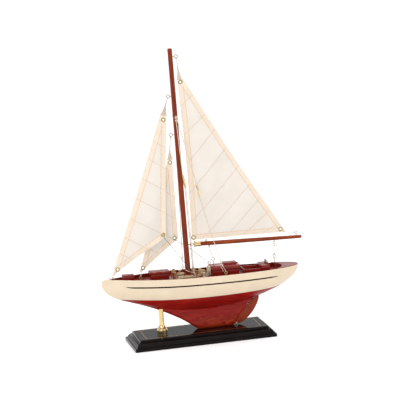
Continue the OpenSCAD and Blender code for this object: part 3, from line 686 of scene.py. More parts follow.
def section(x, z):
    top = sheer(x)
    low = max(keel_line(x), through(BODY, x))
    u = min(1, max(0, (top - z) / max(0.5, top - low)))
    round_up = math.sin(math.radians(90 * min(1, (z - keel_line(x)) / 5)))
    body_y = beam(x) * (1 - u ** 3.2) ** 0.8
    keel_y = keel_width(x) * (0.55 + 0.45 * round_up)
    return (body_y ** 2.5 + keel_y ** 2.5) ** 0.4 * nose(x)


def stations(start, end, count):
    """Places along x that crowd towards both ends."""
    return [(start + end) / 2 - (end - start) / 2 * math.cos(math.pi * i / count)
            for i in range(count + 1)]


def deck_height(x):
    return DECK_Z + DECK_SLOPE * x


DECK_FRAME = Matrix.Translation((0, 0, DECK_Z)) @ Matrix.Rotation(math.atan(-DECK_SLOPE), 4, "Y")


def on_deck(mesh, x=0, y=0):
    return placed(mesh, DECK_FRAME @ Matrix.Translation((x, y, 0)))


def well_half(x, gap=0):
    half = max(0, beam(x) - BULWARK - gap)
    start = WELL_AFT_X - WELL_ROUND
    if x > start:
        half *= math.sqrt(max(0, 1 - ((x - start) / (WELL_ROUND - gap)) ** 2))
    return half


def well_outline(gap=0):
    """Plan of the sunken deck, as a closed list of (x, y)."""
    start = WELL_AFT_X - WELL_ROUND
    xs = list(np.linspace(WELL_FORE_X + gap, start, 90))
    xs += [start + (WELL_ROUND - gap) * math.sin(math.radians(a)) for a in range(4, 90, 5)]
    side = [(x, well_half(x, gap)) for x in xs]
    return side + [(WELL_AFT_X - gap, 0)] + [(x, -y) for x, y in reversed(side)]


# ---------------------------------------------------------------- hull

STRIPE_DOWN = 13
STRIPE_HALF = 1.35
STRIPE_DEEP = 0.25
STRIPE_TAPER = 14
STRIPE_FROM, STRIPE_TO = -129, 138


def stripe_z(x):
    lift = (x + 118) ** 2 * 0.012 if x < -118 else 0
    return sheer(x) - STRIPE_DOWN + lift


def stripe_strength(x):
    """1 along the cut line, falling to 0 at its pointed ends."""
    return min(1, max(0, min(x - STRIPE_FROM, STRIPE_TO - x) / STRIPE_TAPER))


def side_ring(x):
    """Half-section of the cream topsides, from the waterline up to the cap: [y, z] points."""
    low = max(keel_line(x), waterline(x))
    top = sheer(x)
    share = stripe_strength(x)
    half = STRIPE_HALF * share ** 0.5 if share > 0 else 0.02
    mid = stripe_z(x) if STRIPE_FROM - 25 < x < STRIPE_TO + 20 else low + 0.55 * (top - low)
    mid = max(mid, low + 0.35 * (top - low))
    heights = [low + (mid - half - 0.3 - low) * (j / 12) ** 1.3 for j in range(13)]
    ring = [(section(x, z), z) for z in heights]
    deep = STRIPE_DEEP * share
    y = section(x, mid)
    ring += [(section(x, mid - half), mid - half), (y - deep, mid - half * 0.55),
             (y - deep, mid + half * 0.55), (section(x, mid + half), mid + half)]
    r = min(0.9, 0.5 * section(x, top - 1), 0.3 * (top - mid))
    ring += [(section(x, z), z) for z in np.linspace(mid + half + 0.3, top - r, 6)]
    y = section(x, top - r)
    ring += [(y - r + r * math.cos(math.radians(a)), top - r + r * math.sin(math.radians(a)))
             for a in (22, 45, 67, 90)]
    return ring


def topsides_mesh():
    """Sides, walls of the sunken deck and the flat at the waterline, with the loops still open."""
    xs = stations(BOW_X, STERN_X, HULL_STATIONS)
    halves = [side_ring(x) for x in xs]
    rings = [[(x, y, z) for y, z in h] + [(x, -y, z) for y, z in reversed(h)]
             for x, h in zip(xs, halves)]
    m = len(halves[0])
    n = 2 * m
    points, faces = grid(rings)
    points = list(map(tuple, points))
    # the grid joins neighbours along each ring; the strip across the top is left out for the cap
    faces = [f for f in faces
             if not any(i % n == m - 1 for i in f) or not any(i % n == m for i in f)]
    faces += [[i * n, (i + 1) * n, (i + 1) * n + n - 1, i * n + n - 1]
              for i in range(len(rings) - 1)]
    for i, flip in ((0, False), (len(rings) - 1, True)):
        for k in range(m - 1):
            f = [i * n + k, i * n + k + 1, i * n + n - 2 - k, i * n + n - 1 - k]
            faces.append(f[::-1] if flip else f)
    outer = [i * n + m - 1 for i in range(len(rings))]
    outer += [i * n + m for i in reversed(range(len(rings)))]
    plan = well_outline()
    lip = 0.5
    rows = []
    for grow, drop in ((-lip, 0), (-lip * 0.3, lip * 0.3), (0, lip)):
        rows.append([(x, y - math.copysign(grow, y) if abs(y) > 1e-6 else 0, sheer(x) - drop)
                     for x, y in plan])
    rows.append([(x, y, deck_height(x) - 1) for x, y in plan])
    start = len(points)
    k = len(plan)
    for row in rows:
        points += row
    for r in range(3):
        faces += [[start + r * k + i, start + r * k + (i + 1) % k,
                   start + (r + 1) * k + (i + 1) % k, start + (r + 1) * k + i] for i in range(k)]
    inner = [start + i for i in range(k)]
    floor = [start + 3 * k + i for i in range(k)]
    return points, faces, outer, inner, floor


def filled(points, loops):
    """Triangles that fill the region between closed loops of point numbers."""
    work = bmesh.new()
    made = {}
    for loop in loops:
        for i in loop:
            if i not in made:
                made[i] = work.verts.new(points[i])
    back = {v: i for i, v in made.items()}
    edges = [work.edges.new((made[a], made[b]))
             for loop in loops for a, b in zip(loop, loop[1:] + loop[:1])]
    out = bmesh.ops.triangle_fill(work, use_beauty=True, edges=edges, normal=(0, 0, 1))
    faces = [[back[v] for v in f.verts] for f in out["geom"] if isinstance(f, bmesh.types.BMFace)]
    work.free()
    return faces


def make_topsides():
    points, faces, outer, inner, floor = topsides_mesh()
    faces += filled(points, [outer, inner])
    faces += filled(points, [floor])
    hull = mesh_piece("hull_topsides_body", (points, faces), "cream_lacquer",
                      "hull", ["hull_topsides"], 40)
    # the well's wall and floor are stained red
    hull.data.materials.append(MATERIALS["trim_lacquer"])
    for face in hull.data.polygons:
        x, y, z = face.center / MM
        inside = WELL_FORE_X < x < WELL_AFT_X and abs(y) < well_half(x) + 1.7
        if inside and z > deck_height(x) - 2 and z < sheer(x) + 1:
            top = face.normal.z > 0.9 and z > sheer(x) - 0.2
            if not top or abs(y) < well_half(x) + 0.6:
                face.material_index = 1
        aft = COUNTER_DECK_X < x < WELL_AFT_X + 1
        if aft and abs(y) < beam(x) - 2.5 and z > deck_height(x) - 2:
            face.material_index = 1


def make_hull_bottom():
    rings = []
    for x in stations(BOTTOM_FROM, BOTTOM_TO, HULL_STATIONS):
        low = keel_line(x)
        high = max(waterline(x) - 0.03, low + 0.1)
        h = [(section(x, z), z) for z in [low + (high - low) * (j / 26) ** 1.4 for j in range(27)]]
        rings.append([(x, y, z) for y, z in h] + [(x, -y, z) for y, z in reversed(h)])
    mesh_piece("hull_bottom_body", grid(rings, closed=True, caps=True), "mahogany_lacquer", "hull",
               ["hull_bottom"], 40)


def make_stripes():
    parts = []
    for side in (1, -1):
        rows = []
        for x in stations(STRIPE_FROM + 0.5, STRIPE_TO - 0.5, 120):
            share = stripe_strength(x)
            half = STRIPE_HALF * share ** 0.5 * 0.92 + 0.02
            y = section(x, stripe_z(x)) - STRIPE_DEEP * share
            z = stripe_z(x)
            out = y + 0.12 + 0.1 * share
            rows.append([(x, side * (y - 0.2), z - half), (x, side * out, z - half),
                         (x, side * out, z + half), (x, side * (y - 0.2), z + half)])
        parts.append(grid(rows, closed=True, caps=True))
    mesh_piece("cove_lines", join(*parts), "dark_stripe", "hull", ["cove_stripes"])


# ---------------------------------------------------------------- stand

def make_stand():
    profile = [(0.4, 0), (0, 0.4)] + [(0, z) for z in (2, 4)] + arc(0.7, 5.1, 0.7, 180, 90, 5)
    profile += [(2.6, 5.9)] + arc(2.6, 6.4, 0.5, -90, 0, 4)
    profile += [(3.3 + 6.5 * t, 6.6 + 6.9 * math.sin(math.pi / 2 * t) ** 0.9)
                for t in np.linspace(0.05, 1, 12)]
    profile += arc(10.0, 14.4, 0.8, -90, 0, 4) + [(11.0, 15.4)]
    profile += arc(13.1, 15.6, 2.2, 180, 90, 8) + [(13.6, BASE_HEIGHT)]
    rows = []
    for inset, z in profile:
        a, b, c = BASE_LENGTH / 2 - inset, BASE_WIDTH / 2 - inset, 0.5
        rows.append([(a - c, b, z), (-a + c, b, z), (-a, b - c, z), (-a, -b + c, z),
                     (-a + c, -b, z), (a - c, -b, z), (a, -b + c, z), (a, b - c, z)])
    stand = mesh_piece("stand_block", grid(rows, closed=True, caps=True), "black_lacquer", "hull",
                       ["stand_base"], 30)
    cut(stand, [lathe(SCREW_HOLE, (x, 0, 0), segments=32) for x in (POST_X, *KEEL_SCREW_X)])
    for face in stand.data.polygons:
        if abs(face.normal.z) > 0.99:
            face.use_smooth = False
    top, spigot = POST_TOP - BASE_HEIGHT, SPIGOT_TOP - BASE_HEIGHT
    post = [(8.2, 0), (8.6, 0.3), (8.6, 3.2)] + arc(8.3, 5.2, 1.2, -75, 75, 9)
    post += [(8.2, 7.0), (8.2, 8.5)]
    post += [(8.1 - 3.4 * math.sin(math.pi / 2 * t) ** 0.8, 8.7 + 6.6 * t)
             for t in np.linspace(0, 1, 14)]
    post += [(4.5, 16.5), (4.25, 22), (4.2, 28), (4.35, top - 8), (4.5, top),
             (2.5, top), (2.5, spigot)]
    mesh_piece("stand_post_turned", lathe(post, (POST_X, 0, BASE_HEIGHT), segments=64),
               "polished_brass", "hull", ["stand_post"], 40)


# ---------------------------------------------------------------- deck furniture

def make_furniture():
    def on(name, mesh, look="trim_lacquer", replaces=None, sharp=30):
        mesh_piece(name, on_deck(mesh), look, "hull", [replaces] if replaces else (), sharp)

    on("foredeck_locker", block(-132, -111, -6.5, 6.5, 0, 12.5, 1.1), replaces="foredeck_block")
    on("fore_hatch_body", block(-82.5, -50.5, -8.5, 8.5, 0, 10, 0.3), replaces="hatch_body")
    on("fore_hatch_lid", block(-84.5, -48.5, -10, 10, 10, 14.8, 1.6), replaces="hatch_lid")
    staples = []
    for x in (-77, -60):
        for side in (-1, 1):
            route = [(x - 3, side * 9, 13.4), (x - 2.8, side * 9.9, 14.2),
                     (x + 2.8, side * 9.9, 14.2), (x + 3, side * 9, 13.4)]
            staples.append(sweep(smooth_route(route, 6), 0.35, 8))
    on("hatch_staples", join(*staples), "aged_brass", "hatch_handles")
    on("cabin_sides", block(24.6, 73, -14.5, 14.5, 0, 9.6, 0.4), replaces="cabin_body")
    # the roof's radius of crown, half width, height at its edge and place above the deck
    crown, half, edge, lift = 38, 16.1, 8.6, 9.6
    outline = [(-half, lift)] + [
        (y, lift + edge - crown + math.sqrt(crown ** 2 - y ** 2))
        for y in np.linspace(-half, half, 25)
    ] + [(half, lift)]
    n = len(outline)
    points = [(x, y, z) for x in (23.4, 74.2) for y, z in outline]
    faces = [list(range(n)), list(range(2 * n - 1, n - 1, -1))]
    faces += [[i, (i + 1) % n, (i + 1) % n + n, i + n] for i in range(n)]
    on("cabin_roof_slab", bevelled((points, faces), 0.9, angle=30), replaces="cabin_roof")
    hatch = [(46.6, 16.9), (70.2, 16.9), (70.2, 20.4), (46.6, 20.4)]
    on("cabin_slide", prism(hatch, 16, 1.0), replaces="cabin_hatch")
    boards = [block(83, 112, s * 14 - 1.1, s * 14 + 1.1, 0, 7.2, 0.5) for s in (-1, 1)]
    boards.append(block(80.6, 82.8, -15.1, 15.1, 0, 7.2, 0.5))
    on("cockpit_boards", join(*boards), replaces="cockpit_coaming")
    on("cockpit_seat_block", block(112.3, 127, -17, 17, 0, 12, 0.8), replaces="cockpit_seat")
    back = [(-12, 0), (12, 0), (12, 4.6), (10.5, 5.2), (-8, 3), (-12, 1.4)]
    upright = Matrix.Translation((125.1, 0, 12)) @ Matrix.Rotation(math.pi / 2, 4, "Z")
    on("cockpit_back_board", placed(prism(back, 3, 0.6), upright), replaces="cockpit_backrest")
    step = [(8.5, 0), (8.5, 2.6)] + arc(8.0, 2.6, 0.5, 0, 90, 4)
    step += [(6.8, 4.7), (6.3, 5.0), (4.9, 5.0), (4.9, 0)]
    on("mast_collar", ring_lathe(step, (-15, 0, 0), (0, 0, 1), 48), replaces="mast_step")


POST_PLACES = [(-41.5, -14), (-3, -13), (-38, 14), (-3, 14)]
SPOOL_PLACES = [(9, -17), (9, 17), (-26, 19)]
ROPE_D, TIE_D = 1.5, 0.9
# Each hank lying on the deck as x, y, turn, length, width and layers of rope
HANKS = [(-25, -24.5, 2, 28, 12, 5), (-29.5, -1, 5, 12, 10, 6), (10, 2, 0, 12, 10, 7)]


def coil_path(r, turns, pitch, tail, phase=0.0):
    """A winding of the given radius with a loose tail."""
    out = []
    for a in np.linspace(0, 2 * math.pi * turns, int(turns * 18)):
        out.append((r * math.cos(a + phase), r * math.sin(a + phase), pitch * a / (2 * math.pi)))
    last = np.array(out[-1])
    first = np.array(out[0])
    side = np.array((-math.sin(phase), math.cos(phase), 0))
    lead = [first - side * tail + np.array((first[0] * 0.6, first[1] * 0.6, -5.5)),
            first - side * tail * 0.5 + np.array((first[0] * 0.3, first[1] * 0.3, -2.5))]
    return np.array(lead + out + [tuple(last + np.array((0.3, 0.8, 0.5)))])


def hank_path(length, width, turns, d, seed):
    """Loops of rope laid beside and over each other in a long oval."""
    random = np.random.default_rng(seed)
    points = []
    for k in range(turns):
        shift = random.normal(0, 0.35, 2)
        a_len = length / 2 - d * 0.9 * (k % 3) - 0.6
        a_wid = width / 2 - d * 0.9 * (k % 3) - 0.4
        level = d * 0.5 + d * 0.85 * (k // 3 + (k % 3) * 0.12)
        for a in np.linspace(0, 2 * math.pi, 26, endpoint=False):
            wobble = 1 + 0.03 * math.sin(3 * a + k)
            points.append((a_len * math.cos(a) * wobble + shift[0],
                           a_wid * math.sin(a) * wobble + shift[1],
                           level + 0.25 * math.sin(2 * a + k * 1.3)))
    return smooth_route(points, 3)


def make_ropes():
    posts, coils = [], []
    turned = [(1.7, 0), (1.6, 0.6), (1.55, 9.8), (2.1, 10.4),
              (2.35, 11), (2.35, 11.6), (1.9, 12.2), (1.0, 12.6)]
    for i, (x, y) in enumerate(POST_PLACES):
        posts.append(on_deck(lathe(turned, segments=24), x, y))
        if y > 0:
            outer = coil_path(3.2, 3.4, 1.25, 3.5, i * 1.4) + np.array((0, 0, 6.2))
            inner = coil_path(2.4, 2.2, 1.4, 1.5, i) + np.array((0, 0, 7))
            coils += [on_deck(laid(outer, ROPE_D), x, y), on_deck(laid(inner, 1.4), x, y)]
    mesh_piece("mooring_posts_turned", join(*posts), "post_wood", "hull", ["mooring_posts"])
    mesh_piece("post_windings", join(*coils), "rope", "hull", ["post_coils"], 80)
    spool = [(2.8, 0), (2.9, 0.3), (2.8, 1.3), (2.1, 1.9), (1.75, 3), (1.7, 5), (2.0, 6),
             (2.7, 6.7), (3.0, 7.2),
             (3.0, 8.1), (2.6, 8.8), (1.6, 9)]
    spools = [on_deck(lathe(spool, segments=28), x, y) for x, y in SPOOL_PLACES]
    mesh_piece("deck_spools_turned", join(*spools), "pale_wood", "hull", ["deck_spools"])
    hanks = []
    for i, (x, y, turn, length, width, layers) in enumerate(HANKS):
        loops = placed(laid(hank_path(length, width, 3 * layers, ROPE_D, i), ROPE_D),
                       Matrix.Rotation(math.radians(turn), 4, "Z"))
        wrap = [(0.3 * math.cos(a), -width / 2 + 1.8 + 2.2 * math.cos(a), 1.9 + 1.9 * math.sin(a))
                for a in np.linspace(0, 4 * math.pi, 40)]
        wrap = [(p[0] + 0.5 * k / 40, p[1], p[2]) for k, p in enumerate(wrap)]
        tie = placed(laid(wrap, TIE_D), Matrix.Rotation(math.radians(turn), 4, "Z"))
        hanks += [on_deck(loops, x, y), on_deck(tie, x, y)]
    mesh_piece("deck_hanks", join(*hanks), "rope", "hull", ["rope_hanks"], 80)
    upright = Matrix.Translation((20.2, -5.2, 9)) @ Matrix.Rotation(math.pi / 2, 4, "Y")
    hung = placed(laid(hank_path(17, 10, 15, 1.3, 9) - np.array((0, 0, 2.8)), 1.3), upright)
    mesh_piece("cabin_hank_loops", on_deck(hung), "pale_rope", "hull", ["cabin_hank"], 80)


# ---------------------------------------------------------------- spars

MAST_RAKE = math.radians(1.09)
MAST_HEEL = np.array((-14.9, 0, 106))
MAST_R, MAST_TAPER = 4.85, 0.95
BOOM_FORE = np.array((9.2, 0, 168))
BOOM_AXIS = np.array((0.99938, 0, -0.0352))
BOOM_R = 3.7


def mast_at(z):
    return np.array((MAST_HEEL[0] - (z - MAST_HEEL[2]) * math.tan(MAST_RAKE), 0, z))


def boom_at(x):
    return BOOM_FORE + BOOM_AXIS * (x - BOOM_FORE[0]) / BOOM_AXIS[0]


def make_spars():
    axis = (-math.sin(MAST_RAKE), 0, math.cos(MAST_RAKE))
    profile = [(MAST_R - MAST_TAPER * h / 403, h) for h in np.linspace(0, 403.2, 60)]
    profile += [(3.75, 404.2), (3.3, 404.8), (2.9, 405)]
    mesh_piece("mast_spar", lathe(profile, MAST_HEEL, axis, 48), "spar_wood", "hull", ["mast"])
    boom = [(3.3, -9), (3.3, 0), (BOOM_R, 0.01)] + [(BOOM_R, h) for h in np.linspace(5, 70, 10)]
    boom += [(BOOM_R - 0.8 * (h - 70) / 110, h) for h in np.linspace(75, 179.5, 20)]
    boom += [(2.6, 180.8), (2.1, 181.6), (1.4, 182)]
    mesh_piece("boom_spar", lathe(boom, BOOM_FORE, BOOM_AXIS, 40), "boom_wood", "boom_rig",
               ["boom"])
    ferrule = [(3.4, 0), (4.45, 0), (4.65, -0.3), (4.65, -1.2), (4.45, -1.6), (4.4, -9.8)]
    ferrule += arc(3.7, -10.2, 0.7, 0, -90, 5) + [(0.8, -10.95), (0.8, -9.2), (3.35, -9.1)]
    mesh_piece("boom_cap", ring_lathe(ferrule, BOOM_FORE, BOOM_AXIS, 48), "polished_brass",
               "boom_rig", ["boom_ferrule"])


# ---------------------------------------------------------------- eyes

HEAD_EYE = np.array((-12.5, 0, 496.7))
JIB_EYE = np.array((-30.7, 0, 429.3))
STAYSAIL_EYE = np.array((-29.8, 0, 362.7))
GOOSENECK = np.array((-6.9, 0, 168.6))
BOW_EYE = np.array((-147.6, 0, 121.4))
STAY_FOOT_EYE = np.array((-99.2, 0, 119))
VANG_EYE = np.array((30.4, 0, 138))
SHEET_EYE = np.array((23, 0, 132.4))
STERN_EYE = np.array((140.7, 0, 131.6))
FAR_SHROUD_EYE = np.array((-16.8, 35, 122))
NEAR_SHROUD_EYE = np.array((44, -34.6, 120))
EYE_WIRE = 1.2


def screw_eye(at, foot, axis, od):
    """Bent-wire eye: an almost closed ring whose end turns into the shank."""
    axis = np.asarray(axis, float)
    down = np.asarray(foot, float) - at
    reach = down / np.linalg.norm(down)
    reach = reach - axis * reach.dot(axis)
    reach /= np.linalg.norm(reach)
    side = np.cross(axis, reach)
    r = (od - EYE_WIRE) / 2
    ring = [at + r * (math.cos(a) * reach + math.sin(a) * side)
            for a in np.radians(np.linspace(352, 22, 34))]
    bend = [at + reach * (r + 0.5) + side * 0.18, at + reach * (r + 1.3)]
    return sweep(smooth_route(ring + bend + [np.asarray(foot, float)], 3), EYE_WIRE / 2, 10)


# Each deck eye as its middle, the way down to its foot, and its outer diameter
DECK_EYES = [(BOW_EYE, (0, 0, 9.5), 5.4), (STAY_FOOT_EYE, (0, 0, 8.5), 5.4),
             (VANG_EYE, (-1.2, 0, 13), 6.8), (SHEET_EYE, (-2.6, 0, 7.5), 5.6),
             (STERN_EYE, (0, 0, 24), 6.8), (FAR_SHROUD_EYE, (0, 0, 14), 5.4),
             (NEAR_SHROUD_EYE, (0, 0, 14), 5.4)]
# Each boom eye as its middle and its outer diameter
BOOM_EYES = [((25, 0, 162.2), 3.6), ((20.3, 0, 173), 3.6), ((141.1, 0, 155.6), 5.6),
             ((181.7, 0, 169.6), 5.6)]
SHROUD_EYE_Z = 395


def make_eyes():
    y = (0, 1, 0)
    deck = [screw_eye(at, at - down, y, od) for at, down, od in DECK_EYES]
    mesh_piece("deck_screw_eyes", join(*deck), "aged_brass", "hull", ["deck_eyes"], 60)
    mast = [screw_eye(e, mast_at(e[2]), y, 6.8) for e in (HEAD_EYE, JIB_EYE, STAYSAIL_EYE)]
    root = mast_at(SHROUD_EYE_Z)
    mast += [screw_eye(root + (0, s * 6.6, 0), root, (1, 0, 0), 5) for s in (-1, 1)]
    mesh_piece("mast_screw_eyes", join(*mast), "aged_brass", "hull", ["mast_eyes"], 60)
    gooseneck = screw_eye(GOOSENECK - (1.2, 0, 0), mast_at(GOOSENECK[2]), (0, 0, 1), 5.6)
    mesh_piece("gooseneck_mast_eye", gooseneck, "aged_brass", "hull", ["gooseneck_eye"], 60)
    boom = [screw_eye(GOOSENECK + (1.7, 0, 0), BOOM_FORE - (9.4, 0, -0.3), y, 5.6)]
    boom += [screw_eye(np.array(at), boom_at(at[0]), y, od) for at, od in BOOM_EYES]
    mesh_piece("boom_screw_eyes", join(*boom), "aged_brass", "boom_rig", ["boom_eyes"], 60)


# ---------------------------------------------------------------- sails

class Sail:
    """A cut of cloth between four corners, with a belly and slight creases from its corners."""

    def __init__(self, corners, hollow, bulge, clew_y, creases, phase):
        corners = [np.array(c, float) for c in corners]
        self.tack, self.clew, self.head_leech, self.head_luff = corners
        self.hollow, self.bulge, self.clew_y = hollow, bulge, clew_y
        self.creases, self.phase = creases, phase

    def flat(self, u, v):
        """(x, z) of the point at u from luff to leech and v from foot to head."""
        u, v = np.asarray(u, float)[..., None], np.asarray(v, float)[..., None]
        bow = np.sin(np.pi * v)
        luff = self.tack + (self.head_luff - self.tack) * v + np.array((self.hollow[0], 0)) * bow
        leech = self.clew + (self.head_leech - self.clew) * v - np.array((self.hollow[1], 0)) * bow
        foot = np.array((0, self.hollow[2])) * np.sin(np.pi * u) * (1 - v) ** 3
        return luff + (leech - luff) * u - foot

    def side(self, u, v):
        """y of that point."""
        u, v = np.clip(np.asarray(u, float), 0, 1), np.clip(np.asarray(v, float), 0, 1)
        belly = self.bulge * np.sin(np.pi * u ** 0.8) * np.sin(np.pi * v ** 0.8)
        y = self.clew_y * u * (1 - v) ** 0.8 + belly
        a = self.creases
        y = y + a * 0.8 * np.sin(9 * u + 5 * v + self.phase) * np.sin(np.pi * v) * (0.3 + u)
        y = y + a * 0.5 * np.sin(24 * (v - 0.35 * u) + self.phase * 2) * u * (1 - u) * 4 * (1 - v)
        return y + a * 0.35 * np.sin(14 * u - 31 * v + self.phase) * u * (1 - v) * v * 3

    def point(self, u, v, lift=0.0):
        p = self.flat(u, v)
        return np.stack([p[..., 0], self.side(u, v) + lift, p[..., 1]], axis=-1)

    def find(self, xz):
        """The (u, v) of flat points."""
        xz = np.asarray(xz, float)
        u, v = np.full(len(xz), 0.5), np.full(len(xz), 0.4)
        e = 1e-4
        for _ in range(12):
            p = self.flat(u, v)
            du = (self.flat(u + e, v) - p) / e
            dv = (self.flat(u, v + e) - p) / e
            gap = xz - p
            det = du[:, 0] * dv[:, 1] - du[:, 1] * dv[:, 0]
            u = u + (gap[:, 0] * dv[:, 1] - gap[:, 1] * dv[:, 0]) / det
            v = v + (du[:, 0] * gap[:, 1] - du[:, 1] * gap[:, 0]) / det
        return u, v

    def edge_share(self, v, width, low, high):
        """How far in u a distance of width from the edge between two corners is, at height v."""
        across = self.flat(1, v) - self.flat(0, v)
        along = (high - low) / np.linalg.norm(high - low)
        return width / max(1e-3, abs(across[0] * along[1] - across[1] * along[0]))

    def luff_share(self, v, width):
        return self.edge_share(v, width, self.tack, self.head_luff)

    def leech_share(self, v, width):
        return self.edge_share(v, width, self.clew, self.head_leech)

    def foot_share(self, u, width):
        up = self.flat(u, 1) - self.flat(u, 0)
        along = self.clew - self.tack
        along = along / np.linalg.norm(along)
        return width / abs(up[0] * along[1] - up[1] * along[0])


def doubled(sail, us, vs, thick):
    """Closed sheet over a grid of (u, v) rows."""
    front = [sail.point(u, v, -thick / 2) for u, v in zip(us, vs)]
    back = [sail.point(u, v, thick / 2) for u, v in zip(us, vs)]
    rows = [np.vstack([f, b[::-1]]) for f, b in zip(front, back)]
    points, faces = grid(rows, closed=True)
    n = len(rows[0])
    last = (len(rows) - 1) * n
    for k in range(n // 2 - 1):
        faces.append([k, k + 1, n - 2 - k, n - 1 - k])
        faces.append([last + n - 1 - k, last + n - 2 - k, last + k + 1, last + k])
    return points, faces


HEM = 9.5
STITCH_IN = 1.0
PANEL_ROWS, PANEL_COLUMNS = 110, 60
PANEL_THICK = 0.3
HEM_THICK = (0.74, 0.8, 0.86)


def hem_meshes(sail):
    """Folded hems along the luff, the leech and the foot."""
    steps = np.linspace(0, 1, 90)
    luff_u = [np.linspace(-0.0005, min(1, sail.luff_share(v, HEM)), 8) for v in steps]
    leech_u = [1 - np.linspace(-0.0005, min(1, sail.leech_share(v, HEM)), 8) for v in steps]
    foot_v = [np.linspace(-0.0005, sail.foot_share(u, HEM), 8) for u in steps]
    luff = doubled(sail, luff_u, [np.full(8, v) for v in steps], HEM_THICK[0])
    leech = doubled(sail, leech_u, [np.full(8, v) for v in steps], HEM_THICK[1])
    foot = doubled(sail, [np.full(8, u) for u in steps], foot_v, HEM_THICK[2])
    return luff, leech, foot


STITCH, STITCH_GAP, STITCH_R = 2.0, 0.3, 0.33


def stitches(sail, uv, lift):
    """Running stitches along a line of (u, v), on both faces."""
    parts = []
    u, v = (np.array(c) for c in zip(*uv))
    flat = sail.point(u, v)
    along = np.concatenate([[0], np.cumsum(np.linalg.norm(np.diff(flat, axis=0), axis=1))])
    starts = np.arange(0.5, along[-1] - STITCH, STITCH + STITCH_GAP)
    if not len(starts):
        return parts
    places = np.concatenate([starts, starts + STITCH / 2, starts + STITCH])
    ui, vi = np.interp(places, along, u), np.interp(places, along, v)
    for side in (-1, 1):
        p = sail.point(ui, vi, side * lift)
        a, m, b = np.split(p, 3)
        out = np.array((0, side * STITCH_R, 0))
        t = b - a
        t /= np.linalg.norm(t, axis=1)[:, None]
        wide = np.cross(t, (0, 1, 0)) * STITCH_R
        points = np.stack([a - out * 0.4, b - out * 0.4,
                           m + out, m + wide, m - out * 0.6, m - wide], axis=1)
        faces = []
        for k in range(len(points)):
            s = 6 * k
            for q in range(4):
                faces.append([s, s + 2 + q, s + 2 + (q + 1) % 4])
                faces.append([s + 1, s + 2 + (q + 1) % 4, s + 2 + q])
        parts.append((points.reshape(-1, 3), faces))
    return parts


def seam_line(sail, start, end):
    """(u, v) along a straight seam between two points of the centre plane, trimmed to the cloth."""
    t = np.linspace(0, 1, 60)[:, None]
    u, v = sail.find(np.array(start) + (np.array(end) - np.array(start)) * t)
    keep = (u > 0.0) & (u < 1.0) & (v > 0.0) & (v < 1.0)
    return u[keep], v[keep]


GROMMET = [(1.8, -0.5), (1.9, -0.85), (2.4, -1.05), (3.1, -1.0), (3.7, -0.75), (4.0, -0.45),
           (4.0, -0.35), (4.0, 0.35), (4.0, 0.45), (3.7, 0.75), (3.1, 1.0),
           (2.4, 1.05), (1.9, 0.85), (1.8, 0.5)]


GROMMETS_OF = {"mainsail": "main_grommets", "jib": "jib_grommets", "staysail": "staysail_grommets"}


def make_sail(name, sail, seams, eyelets, body):
    us = [np.linspace(0, 1, PANEL_COLUMNS)] * PANEL_ROWS
    vs = [np.full(PANEL_COLUMNS, v) for v in np.linspace(0, 1, PANEL_ROWS)]
    panel = mesh_piece(name + "_panel", doubled(sail, us, vs, PANEL_THICK), "sailcloth",
                       body, [name], 50)
    hem_names = ("luff", "leech", "foot")
    hems = [mesh_piece(f"{name}_{edge}_hem", mesh, "hem_cloth", body, sharp=50)
            for edge, mesh in zip(hem_names, hem_meshes(sail))]
    sewn = []
    for start, end in seams:
        sewn += stitches(sail, list(zip(*seam_line(sail, start, end))), HEM_THICK[2] / 2)
    steps = np.linspace(0, 1, 120)
    inner = HEM - STITCH_IN
    luff = [(sail.luff_share(v, inner), v) for v in steps if sail.luff_share(v, inner) < 0.6]
    leech = [(1 - sail.leech_share(v, inner), v) for v in steps
             if sail.leech_share(v, inner) < 0.6]
    foot = [(u, sail.foot_share(u, inner)) for u in steps]
    for line, thick in zip((luff, leech, foot), HEM_THICK):
        sewn += stitches(sail, line, thick / 2 + 0.06)
    thread = mesh_piece(name + "_stitching", join(*sewn), "stitch_thread", body, sharp=80)
    holes, rings = [], []
    for place in eyelets:
        u, v = sail.find([place])
        at = sail.point(u, v)[0]
        e = 0.02
        du = sail.point(u + e, v)[0] - at
        dv = sail.point(u, v + e)[0] - at
        axis = np.cross(du, dv)
        axis /= np.linalg.norm(axis)
        holes.append(lathe([(2.9, -4), (2.9, 4)], at, axis, 24))
        rings.append(ring_lathe(GROMMET, at, axis, 36))
    for cloth_piece in [panel] + hems:
        cut(cloth_piece, holes)
    eyes = mesh_piece(name + "_eyelets", join(*rings), "eyelet_brass", body,
                      [GROMMETS_OF[name]], 60)


MAINSAIL = Sail([(-4.6, 176.2), (163.6, 172.6), (-2.4, 457.6), (-12.4, 454.2)],
                (2.5, 3, -0.5), -5, 0, 0.9, 0.4)
JIB = Sail([(-149.6, 127.2), (-52.6, 188.6), (-35.6, 396.6), (-46.8, 397)],
           (0.5, 0.8, -1), -4, -11, 0.8, 2.1)
STAYSAIL = Sail([(-101.4, 126.4), (-28.2, 180.6), (-30.4, 317.6), (-38.2, 321.4)],
                (0.5, 0, -1), -1, 3, 0.5, 3.9)

MAIN_SEAMS = [((-12, 409), (14, 430)), ((-10, 359), (34, 395)), ((-8, 308), (50, 369)),
              ((-6, 257), (66, 333)), ((-5, 206), (85, 298)), ((20, 181), (104, 265)),
              ((58, 178), (124, 242)), ((86, 175), (146, 221)), ((118, 173), (160, 195))]
JIB_SEAMS = [((-52, 392), (-33, 379)), ((-66, 359), (-36, 338)), ((-78, 330), (-39, 302)),
             ((-91, 296), (-39, 264)), ((-104, 263), (-44, 226)), ((-118, 230), (-54, 192)),
             ((-130, 198), (-84, 170)), ((-141, 170), (-106, 152))]
STAYSAIL_SEAMS = [((-46, 308), (-24, 296)), ((-56, 274), (-24, 249)), ((-68, 240), (-22, 210)),
                  ((-79, 206), (-28, 176)), ((-90, 173), (-52, 153))]


